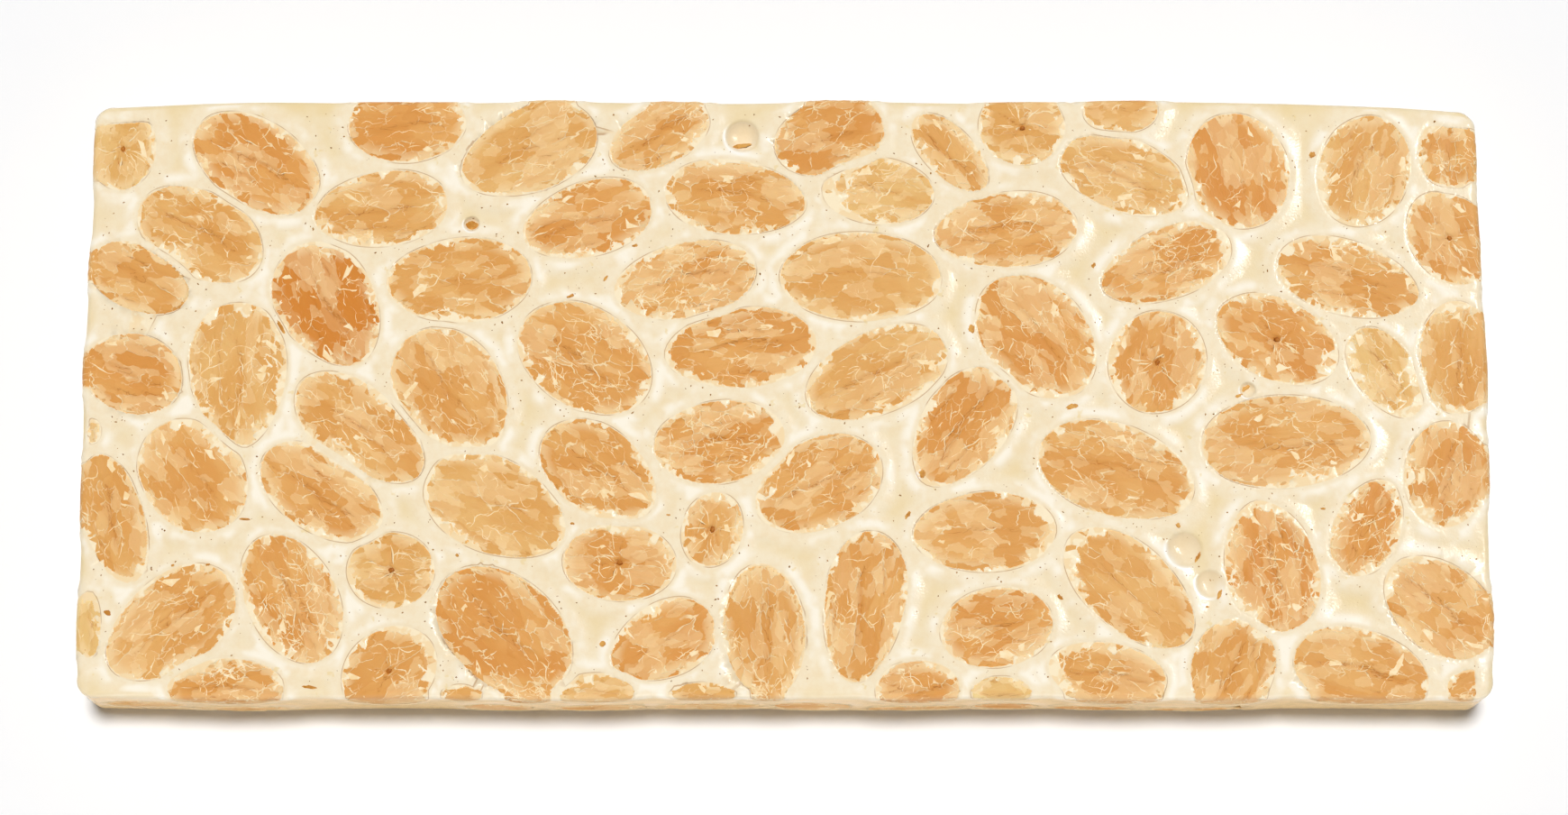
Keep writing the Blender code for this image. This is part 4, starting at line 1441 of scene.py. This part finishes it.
def lump(place, middle, size, turn, rounds, rings, seed):
    """A small uneven lump, such as a crumb or a speck, with a length, a width and a height."""
    x, y, height = middle
    length, width, tall = size
    places, faces = [], []
    for ring in range(1, rings):
        polar = math.pi * ring / rings
        for step in range(rounds):
            t = 2 * math.pi * step / rounds
            uneven = 1.0 + 0.45 * float(noise(2 * math.cos(t) + 3, 2 * math.sin(t) + ring, seed))
            a = 0.5 * length * uneven * math.sin(polar) * math.cos(t)
            b = 0.5 * width * uneven * math.sin(polar) * math.sin(t)
            px = x + a * math.cos(turn) - b * math.sin(turn)
            py = y + a * math.sin(turn) + b * math.cos(turn)
            places.append((px, py, height + 0.5 * tall * math.cos(polar)))
    places += [(x, y, height + 0.5 * tall), (x, y, height - 0.5 * tall)]
    top, bottom = len(places) - 2, len(places) - 1
    last = (rings - 2) * rounds
    for step in range(rounds):
        after = (step + 1) % rounds
        faces.append([top, step, after])
        faces.append([bottom, last + after, last + step])
        for ring in range(rings - 2):
            start = ring * rounds
            faces.append([start + step, start + rounds + step, start + rounds + after, start + after])
    places = np.array(places)
    return plain_solid(place(places[:, 0], places[:, 1], places[:, 2]), faces)


def surface_height(upper, x, y):
    """Height of the nougat's upper face at these places."""
    return nougat_relief(upper, BUBBLES, x, y, np.full(len(x), WORKED_OUT), 1.0)[0]


def make_specks(upper):
    """Specks of almond skin sprinkled over the nougat of the upper face."""
    rng = np.random.default_rng(91)
    x = rng.uniform(-LENGTH / 2 + 2, LENGTH / 2 - 2, SPECKS)
    y = rng.uniform(-WIDTH / 2 + 2, WIDTH / 2 - 2, SPECKS)
    distance, _ = nearest_almond(upper, x, y)
    height = surface_height(upper, x, y)
    solids = []
    for number in np.flatnonzero(distance > 0.3):
        width = 0.10 + 0.18 * rng.random() ** 3
        size = (width * rng.uniform(1, 1.8), width, SPECK_HEIGHT)
        middle = (x[number], y[number], height[number] - 0.02)
        solids.append(lump(place_top, middle, size, rng.uniform(0, 3.1), 5, 3, number))
    return solids


def make_crumbs(upper):
    """The brown crumbs, each on the nougat where it lies in the photograph."""
    solids = []
    for number, (x, y, length, width, turn) in enumerate(CRUMBS):
        plain_x, plain_y = to_plain(x, y)
        at_x, at_y = np.array([float(plain_x)]), np.array([float(plain_y)])
        height = float(surface_height(upper, at_x, at_y)[0])
        middle = (at_x[0], at_y[0], max(height, -0.5))
        size = (CRUMB_SHARE * length, CRUMB_SHARE * width, CRUMB_HEIGHT)
        solids.append(lump(place_top, middle, size, math.radians(turn), 12, 6, 40 + number))
    return solids


def shade(name):
    """A colour of the table as Blender's linear colour."""
    shares = [value / 255.0 for value in COLOURS[name]]
    linear = [share / 12.92 if share <= 0.04045 else ((share + 0.055) / 1.055) ** 2.4 for share in shares]
    return (*linear, 1.0)


class Graph:
    """A material's nodes, joined by short calls."""

    def __init__(self, name):
        self.material = bpy.data.materials.new(name)
        self.material.use_nodes = True
        self.nodes = self.material.node_tree.nodes
        self.links = self.material.node_tree.links
        self.shader = self.nodes["Principled BSDF"]

    def feed(self, socket, value):
        """Link a socket to another, or set it to a value."""
        if isinstance(value, bpy.types.NodeSocket):
            self.links.new(value, socket)
        else:
            socket.default_value = value

    def node(self, kind, inputs, **settings):
        """A new shader node with its inputs fed and its settings made."""
        made = self.nodes.new("ShaderNode" + kind)
        for key, value in settings.items():
            setattr(made, key, value)
        for key, value in inputs.items():
            self.feed(made.inputs[key], value)
        return made

    def number(self, name):
        """A number that the mesh carries at its points."""
        return self.node("Attribute", {}, attribute_name=name).outputs["Fac"]

    def place(self):
        """The point's place in the tablet's frame, in millimetres."""
        coordinates = self.node("TexCoord", {}).outputs["Object"]
        return self.stretch(coordinates, (1 / MM, 1 / MM, 1 / MM))

    def level(self):
        """Height above the floor, in millimetres."""
        return self.node("SeparateXYZ", {0: self.place()}).outputs["Z"]

    def stretch(self, vector, scale):
        """A vector with each of its parts scaled."""
        return self.node("VectorMath", {0: vector, 1: scale}, operation="MULTIPLY").outputs[0]

    def speckle(self, vector, scale, detail=2.0, roughness=0.5):
        """Smooth noise from 0 to 1."""
        inputs = {"Vector": vector, "Scale": scale, "Detail": detail, "Roughness": roughness}
        return self.node("TexNoise", inputs).outputs["Fac"]

    def math(self, operation, first, second=0.0):
        """One sum of two numbers."""
        return self.node("Math", {0: first, 1: second}, operation=operation).outputs[0]

    def times(self, first, second):
        """The product of two numbers."""
        return self.math("MULTIPLY", first, second)

    def ramp(self, value, start, end, low=0.0, high=1.0):
        """A smooth step from low to high as the value goes from start to end."""
        inputs = {"Value": value, "From Min": start, "From Max": end, "To Min": low, "To Max": high}
        return self.node("MapRange", inputs, interpolation_type="SMOOTHSTEP").outputs["Result"]

    def mix(self, share, first, second):
        """A colour between two, given as names or sockets."""
        made = self.nodes.new("ShaderNodeMix")
        made.data_type = "RGBA"
        self.feed(made.inputs[0], share)
        for number, colour in ((6, first), (7, second)):
            self.feed(made.inputs[number], shade(colour) if isinstance(colour, str) else colour)
        return made.outputs[2]

    def bump(self, height, distance, strength):
        """A normal raised by a height from 0 to 1 that stands for this distance in metres."""
        inputs = {"Height": height, "Distance": distance, "Strength": strength}
        return self.node("Bump", inputs).outputs["Normal"]

    def finish(self, **inputs):
        """Feed the shader's sockets and hand over the material."""
        for key, value in inputs.items():
            self.feed(self.shader.inputs[key.replace("_", " ")], value)
        return self.material


def film_over(graph, colour, place, rim):
    """The thin peach film, laid over the nougat's colour where the nougat covers an almond."""
    thin = graph.ramp(graph.speckle(place, 0.6, 2.0, 0.5), 0.46, 0.54)
    film = graph.mix(thin, "film", "thin film")
    over = graph.times(graph.ramp(rim, 0.05, -0.2), graph.number("film"))
    return graph.mix(over, colour, film)


def nougat_material():
    """Honey nougat: painted highlights on its ridges, painted shade in its hollows, a thin peach film where
    it covers an almond.
    """
    graph = Graph("nougat")
    place = graph.place()
    rim = graph.number("rim")
    cloudy = graph.speckle(place, 0.16, 3.0)
    mottled = graph.speckle(place, 0.75, 3.0, 0.6)
    # Painted shade: a darker, yellower colour in the sags far from the almonds, kept out of the bubbles
    sag_shade = graph.times(graph.ramp(rim, 0.7, 3.6), graph.ramp(graph.number("relief"), -0.55, -0.45))
    sag_shade = graph.times(sag_shade, graph.ramp(cloudy, 0.3, 0.7, 0.3, 1.0))
    colour = graph.mix(graph.ramp(mottled, 0.35, 0.7), "nougat", "nougat mottle")
    colour = graph.mix(sag_shade, colour, "nougat sag shade")
    # Painted highlight: near-white streaks on the ridge round each almond
    ridge = graph.times(graph.ramp(rim, 0.1, 0.8), graph.ramp(rim, 2.2, 0.9))
    highlight_streaks = graph.ramp(graph.speckle(place, 0.22, 2.0), 0.44, 0.62, 0.0, 0.8)
    colour = graph.mix(graph.times(ridge, highlight_streaks), colour, "nougat highlight")
    colour = film_over(graph, colour, place, rim)
    # Painted shade in each bubble's upper half and a painted highlight on its lower left lip
    colour = graph.mix(graph.times(graph.number("pit"), 0.75), colour, "bubble shade")
    colour = graph.mix(graph.number("lip"), colour, "bubble highlight")
    stained = graph.ramp(graph.speckle(place, 0.42, 3.0, 0.6), 0.66, 0.72)
    colour = graph.mix(graph.times(stained, 0.5), colour, "nougat stain")
    # The sawn sides turn deeper and warmer: partly their own tone, partly painted shade
    side = graph.ramp(graph.level(), 13.2, 11.6)
    colour = graph.mix(graph.times(side, 0.65), colour, "sawn side tone and shade")
    # A broken dark line along each almond's rim: painted shadow where nougat meets almond
    line = graph.ramp(graph.math("ABSOLUTE", rim), 0.09, 0.03)
    broken = graph.ramp(graph.speckle(place, 0.20, 2.0), 0.47, 0.60, 0.0, 0.7)
    colour = graph.mix(graph.times(line, broken), colour, "almond rim shadow")
    return graph.finish(
        Base_Color=colour,
        Roughness=graph.ramp(mottled, 0.3, 0.7, 0.16, 0.26),
        Normal=graph.bump(graph.speckle(place, 3.2, 3.0, 0.6), 0.00006, 0.5),
        Specular_IOR_Level=graph.ramp(side, 0.0, 1.0, 0.45, 0.06),
    )


def grain_layer(graph, grain, along, across, detail, distort=0.0):
    """Noise from 0 to 1, stretched along an almond's grain."""
    inputs = {
        "Vector": graph.stretch(grain, (along, across, 0.0)),
        "Scale": 1.0,
        "Detail": detail,
        "Roughness": 0.55,
        "Distortion": distort,
    }
    return graph.node("TexNoise", inputs).outputs["Fac"]


def grain_cells(graph, grain, along, across, unrest):
    """Irregular flat cells along the grain: a share from 0 to 1 for each, and how far its edge is."""
    coordinates = graph.stretch(grain, (along, across, 0.0))
    inputs = {"Vector": coordinates, "Scale": 1.7, "Detail": 2.0}
    push = graph.stretch(graph.node("TexNoise", inputs).outputs["Color"], (unrest, unrest, 0.0))
    moved = graph.node("VectorMath", {0: coordinates, 1: push}, operation="ADD").outputs[0]
    inputs = {"Vector": moved, "Scale": 1.0}
    shares = graph.node("TexVoronoi", inputs, voronoi_dimensions="2D").outputs["Color"]
    border = graph.node("TexVoronoi", inputs, voronoi_dimensions="2D", feature="DISTANCE_TO_EDGE")
    return graph.node("SeparateXYZ", {0: shares}).outputs["X"], border.outputs["Distance"]


def toasted_colour(graph, grain, tint, zone, piece):
    """The almond's own colour by its tint, in flat zones and smaller pieces with streaks along them."""
    light = graph.mix(tint, "pale almond", "toasted almond")
    deep = graph.mix(tint, "pale almond patch", "toasted almond patch")
    dark = graph.mix(tint, "pale dark zone", "toasted dark zone")
    wide = graph.ramp(grain_layer(graph, grain, 0.11, 0.16, 1.0), 0.40, 0.62, 0.0, 0.8)
    colour = graph.mix(wide, light, deep)
    colour = graph.mix(graph.ramp(tint, 0.0, -0.4), colour, "sunken almond")
    colour = graph.mix(graph.ramp(tint, 0.98, 1.2), colour, "darkest almond")
    colour = graph.mix(graph.ramp(zone, 0.36, 0.30, 0.0, 0.5), colour, dark)
    colour = graph.mix(graph.ramp(zone, 0.70, 0.74, 0.0, 0.42), colour, "light zone")
    colour = graph.mix(graph.ramp(piece, 0.30, 0.24, 0.0, 0.22), colour, deep)
    colour = graph.mix(graph.ramp(piece, 0.80, 0.84, 0.0, 0.34), colour, "light piece")
    streaks = graph.ramp(grain_layer(graph, grain, 0.10, 0.7, 2.0), 0.56, 0.70, 0.0, 0.20)
    return graph.mix(streaks, colour, "streak")


def pale_hairs(graph, grain, zone_edge, piece_edge):
    """Thin pale borders of the zones and pieces, more of them on the busier almonds."""
    busy = graph.ramp(graph.number("busy"), 0.1, 0.8, 0.30, 1.0)
    some = graph.ramp(grain_layer(graph, grain, 0.26, 0.38, 2.0), 0.49, 0.57, 0.0, 0.85)
    others = graph.ramp(grain_layer(graph, grain, 0.26, 0.50, 2.0, 0.4), 0.50, 0.58, 0.0, 0.85)
    hairs = graph.times(graph.ramp(piece_edge, 0.050, 0.026), graph.times(some, busy))
    return graph.math("MAXIMUM", hairs, graph.times(graph.ramp(zone_edge, 0.035, 0.018), others))


def almond_material():
    """Peeled toasted almond: flat patches of tan, streaks along the grain and orange painted shade in the
    creases.
    """
    graph = Graph("toasted_almond")
    grain = graph.node("Attribute", {}, attribute_name="grain").outputs["Vector"]
    tint, crease, inside = graph.number("tint"), graph.number("crease"), graph.number("inside")
    zone, zone_edge = grain_cells(graph, grain, 0.22, 0.40, 0.9)
    piece, piece_edge = grain_cells(graph, grain, 0.50, 0.82, 0.8)
    colour = toasted_colour(graph, grain, tint, zone, piece)
    broken = graph.math("SUBTRACT", grain_layer(graph, grain, 0.24, 0.70, 3.0, 0.3), 0.5)
    cracks = graph.ramp(graph.math("ABSOLUTE", broken), 0.011, 0.003)
    cracks = graph.times(cracks, graph.ramp(crease, 0.05, 0.45, 0.10, 1.0))
    colour = graph.mix(graph.times(cracks, 0.6), colour, "crack")
    hairs = pale_hairs(graph, grain, zone_edge, piece_edge)
    colour = graph.mix(hairs, colour, "hair")
    # Painted shade in the creases, stronger where they are cut deeper
    colour = graph.mix(graph.times(crease, 0.5), colour, "crease")
    torn = graph.times(graph.ramp(piece, 0.46, 0.50), graph.ramp(inside, 2.2, 0.5))
    colour = graph.mix(graph.times(torn, 0.55), colour, "torn edge")
    burnt = graph.ramp(graph.speckle(graph.stretch(grain, (0.8, 1.2, 0.0)), 1.0, 2.0), 0.64, 0.68)
    burnt = graph.times(burnt, graph.ramp(inside, 1.6, 0.6, 0.25, 1.0))
    colour = graph.mix(graph.times(burnt, 0.6), colour, "burnt spot")
    height = graph.math("ADD", graph.times(torn, 0.5), hairs)
    height = graph.math("ADD", height, graph.times(zone, 0.6))
    height = graph.math("SUBTRACT", height, cracks)
    fine = graph.speckle(graph.stretch(grain, (1.2, 4.0, 0.0)), 1.0, 3.0, 0.6)
    height = graph.math("ADD", height, graph.times(fine, 0.8))
    return graph.finish(
        Base_Color=colour,
        Roughness=graph.ramp(piece, 0.2, 0.8, 0.44, 0.54),
        Normal=graph.bump(height, 0.00006, 0.8),
        Specular_IOR_Level=graph.ramp(graph.level(), 11.6, 13.2, 0.05, 0.25),
        Subsurface_Weight=0.1,
        Subsurface_Radius=(1.0, 0.6, 0.3),
        Subsurface_Scale=0.0010,
    )


def film_material():
    """Torn threads and scraps of nougat film on the almonds."""
    graph = Graph("nougat_film")
    uneven = graph.speckle(graph.place(), 0.9, 3.0, 0.6)
    colour = graph.mix(graph.ramp(uneven, 0.35, 0.65), "thread", "thread mottle")
    return graph.finish(Base_Color=colour, Roughness=0.45, Specular_IOR_Level=0.4)


def speck_material(name, colour):
    """A small dark thing's material: its colour mottled with the darker one."""
    graph = Graph(name)
    place = graph.place()
    uneven = graph.speckle(place, 0.8, 3.0, 0.6)
    mottled = graph.mix(graph.ramp(uneven, 0.38, 0.62), colour, colour + " mottle")
    normal = graph.bump(graph.speckle(place, 6.0, 2.0), 0.00005, 0.6)
    return graph.finish(Base_Color=mottled, Roughness=0.5, Normal=normal)


def attach(piece, material):
    """Finish a piece of the tablet, which rides with it and stands for its solid."""
    piece.data.materials.append(material)
    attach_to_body(piece, "root")
    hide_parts(NODE)


def add_almonds(upper, sections, base):
    """The almonds, in four pieces."""
    back = [almond for almond in upper if almond.seed <= LAST_BACK_ALMOND]
    front = [almond for almond in upper if almond.seed > LAST_BACK_ALMOND]
    groups = [
        ("almonds_back", back, TOP_NET),
        ("almonds_front", front, TOP_NET),
        ("almonds_sides", sections, SIDE_NET),
        ("almonds_base", base, BASE_NET),
    ]
    toasted = almond_material()
    for name, almonds, spacing in groups:
        attach(join(name, [almond_solid(almond, spacing) for almond in almonds]), toasted)


def add_film(upper, sections, base):
    """Dark slivers of painted shade in the almonds' crevices, and the threads and scraps of film on them."""
    crevice_shadows, threads, flakes = [], [], []
    for almond in upper:
        crevice_shadows += make_crevice_shadows(almond)
        threads += make_threads(almond, 1.0)
    for almond in sections + base:
        threads += make_threads(almond, HIDDEN_SHARE)
    for almond in upper + sections:
        flakes += make_flakes(almond)
    attach(join("almond_crevice_shadows", crevice_shadows), speck_material("crevice_shade", "crevice_shade"))
    film = film_material()
    attach(join("film_threads", threads), film)
    attach(join("film_scraps", flakes, False), film)


def add_specks(upper):
    """The specks and crumbs on the nougat."""
    attach(join("skin_specks", make_specks(upper)), speck_material("skin_speck", "speck"))
    attach(join("brown_crumbs", make_crumbs(upper), False), speck_material("brown_crumb", "crumb"))


def make_floor():
    """The plain white floor."""
    mesh = bpy.data.meshes.new("floor")
    half = FLOOR_HALF
    corners = [(-half, -half, 0), (half, -half, 0), (half, half, 0), (-half, half, 0)]
    mesh.from_pydata(corners, [], [(0, 1, 2, 3)])
    floor = new_object("floor", mesh)
    graph = Graph("floor_white")
    floor.data.materials.append(graph.finish(
        Base_Color=FLOOR_COLOUR,
        Roughness=1.0,
        Specular_IOR_Level=0.0,
        Emission_Color=(1.0, 1.0, 1.0, 1.0),
        Emission_Strength=FLOOR_GLOW,
    ))
    floor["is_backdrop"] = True


def aim(obj, place, target):
    """Put a camera or light at a place and turn it to its target."""
    obj.location = place
    obj.rotation_euler = (Vector(target) - Vector(place)).to_track_quat("-Z", "Y").to_euler()


def make_camera():
    """A camera at the photograph's angle, a little in front of straight above."""
    camera = bpy.data.cameras.new("camera")
    camera.lens = CAMERA_LENS
    camera.sensor_width = CAMERA_SENSOR
    camera.clip_start = 0.01
    camera.clip_end = 20.0
    obj = new_object("camera", camera)
    tilt = math.radians(CAMERA_ELEVATION)
    target = Vector((AIM[0], AIM[1], THICKNESS * MM))
    aim(obj, target + CAMERA_DISTANCE * Vector((0, -math.cos(tilt), math.sin(tilt))), target)
    bpy.context.scene.camera = obj


def make_area_light(name, place, size, power, target=(0, 0, 0)):
    """A rectangular light that faces its target."""
    light = bpy.data.lights.new(name, "AREA")
    light.shape = "RECTANGLE"
    light.size, light.size_y = size
    light.energy = power
    obj = new_object(name, light)
    aim(obj, place, target)
    return obj


def make_world():
    """A pale band of light all round near the floor, and little light above it."""
    world = bpy.data.worlds.new("studio")
    bpy.context.scene.world = world
    world.use_nodes = True
    nodes, links = world.node_tree.nodes, world.node_tree.links
    coordinates = nodes.new("ShaderNodeTexCoord")
    split = nodes.new("ShaderNodeSeparateXYZ")
    level = nodes.new("ShaderNodeMapRange")
    level.interpolation_type = "SMOOTHSTEP"
    level.inputs["From Min"].default_value = 0.6 * WORLD_BAND
    level.inputs["From Max"].default_value = 1.4 * WORLD_BAND
    level.inputs["To Min"].default_value = WORLD_LOW
    level.inputs["To Max"].default_value = WORLD_HIGH
    links.new(coordinates.outputs["Generated"], split.inputs[0])
    links.new(split.outputs["Z"], level.inputs["Value"])
    links.new(level.outputs["Result"], nodes["Background"].inputs["Strength"])


def make_light():
    """The overhead light without a reflection, the key that only reflects, and the front fill."""
    sun = bpy.data.lights.new("overhead", "SUN")
    sun.energy = OVERHEAD_STRENGTH
    sun.angle = math.radians(OVERHEAD_SPREAD)
    overhead = new_object("overhead", sun)
    overhead.rotation_euler = (math.radians(OVERHEAD_TILT), 0.0, 0.0)
    overhead.visible_glossy = False
    key = make_area_light("key", KEY_PLACE, KEY_SIZE, KEY_POWER)
    key.visible_diffuse = False
    make_area_light("front_fill", FILL_PLACE, FILL_SIZE, FILL_POWER, FILL_TARGET)


def main():
    """Make the tablet, the floor, the camera and the light."""
    upper, sections, base = share_almonds()
    on_face = [almond.on_top() for almond in upper]
    strip = [almond.on_strip() for almond in upper + sections if almond.side is not None]
    attach(make_nougat(on_face, strip, base), nougat_material())
    add_almonds(upper, sections, base)
    add_film(upper, sections, base)
    add_specks(on_face)
    make_floor()
    make_camera()
    make_world()
    make_light()
    bpy.context.scene.view_settings.view_transform = "Standard"


main()
boxes = {"cad": cad_box, "visual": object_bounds()}
{key: [list(corner) for corner in box] for key, box in boxes.items()}
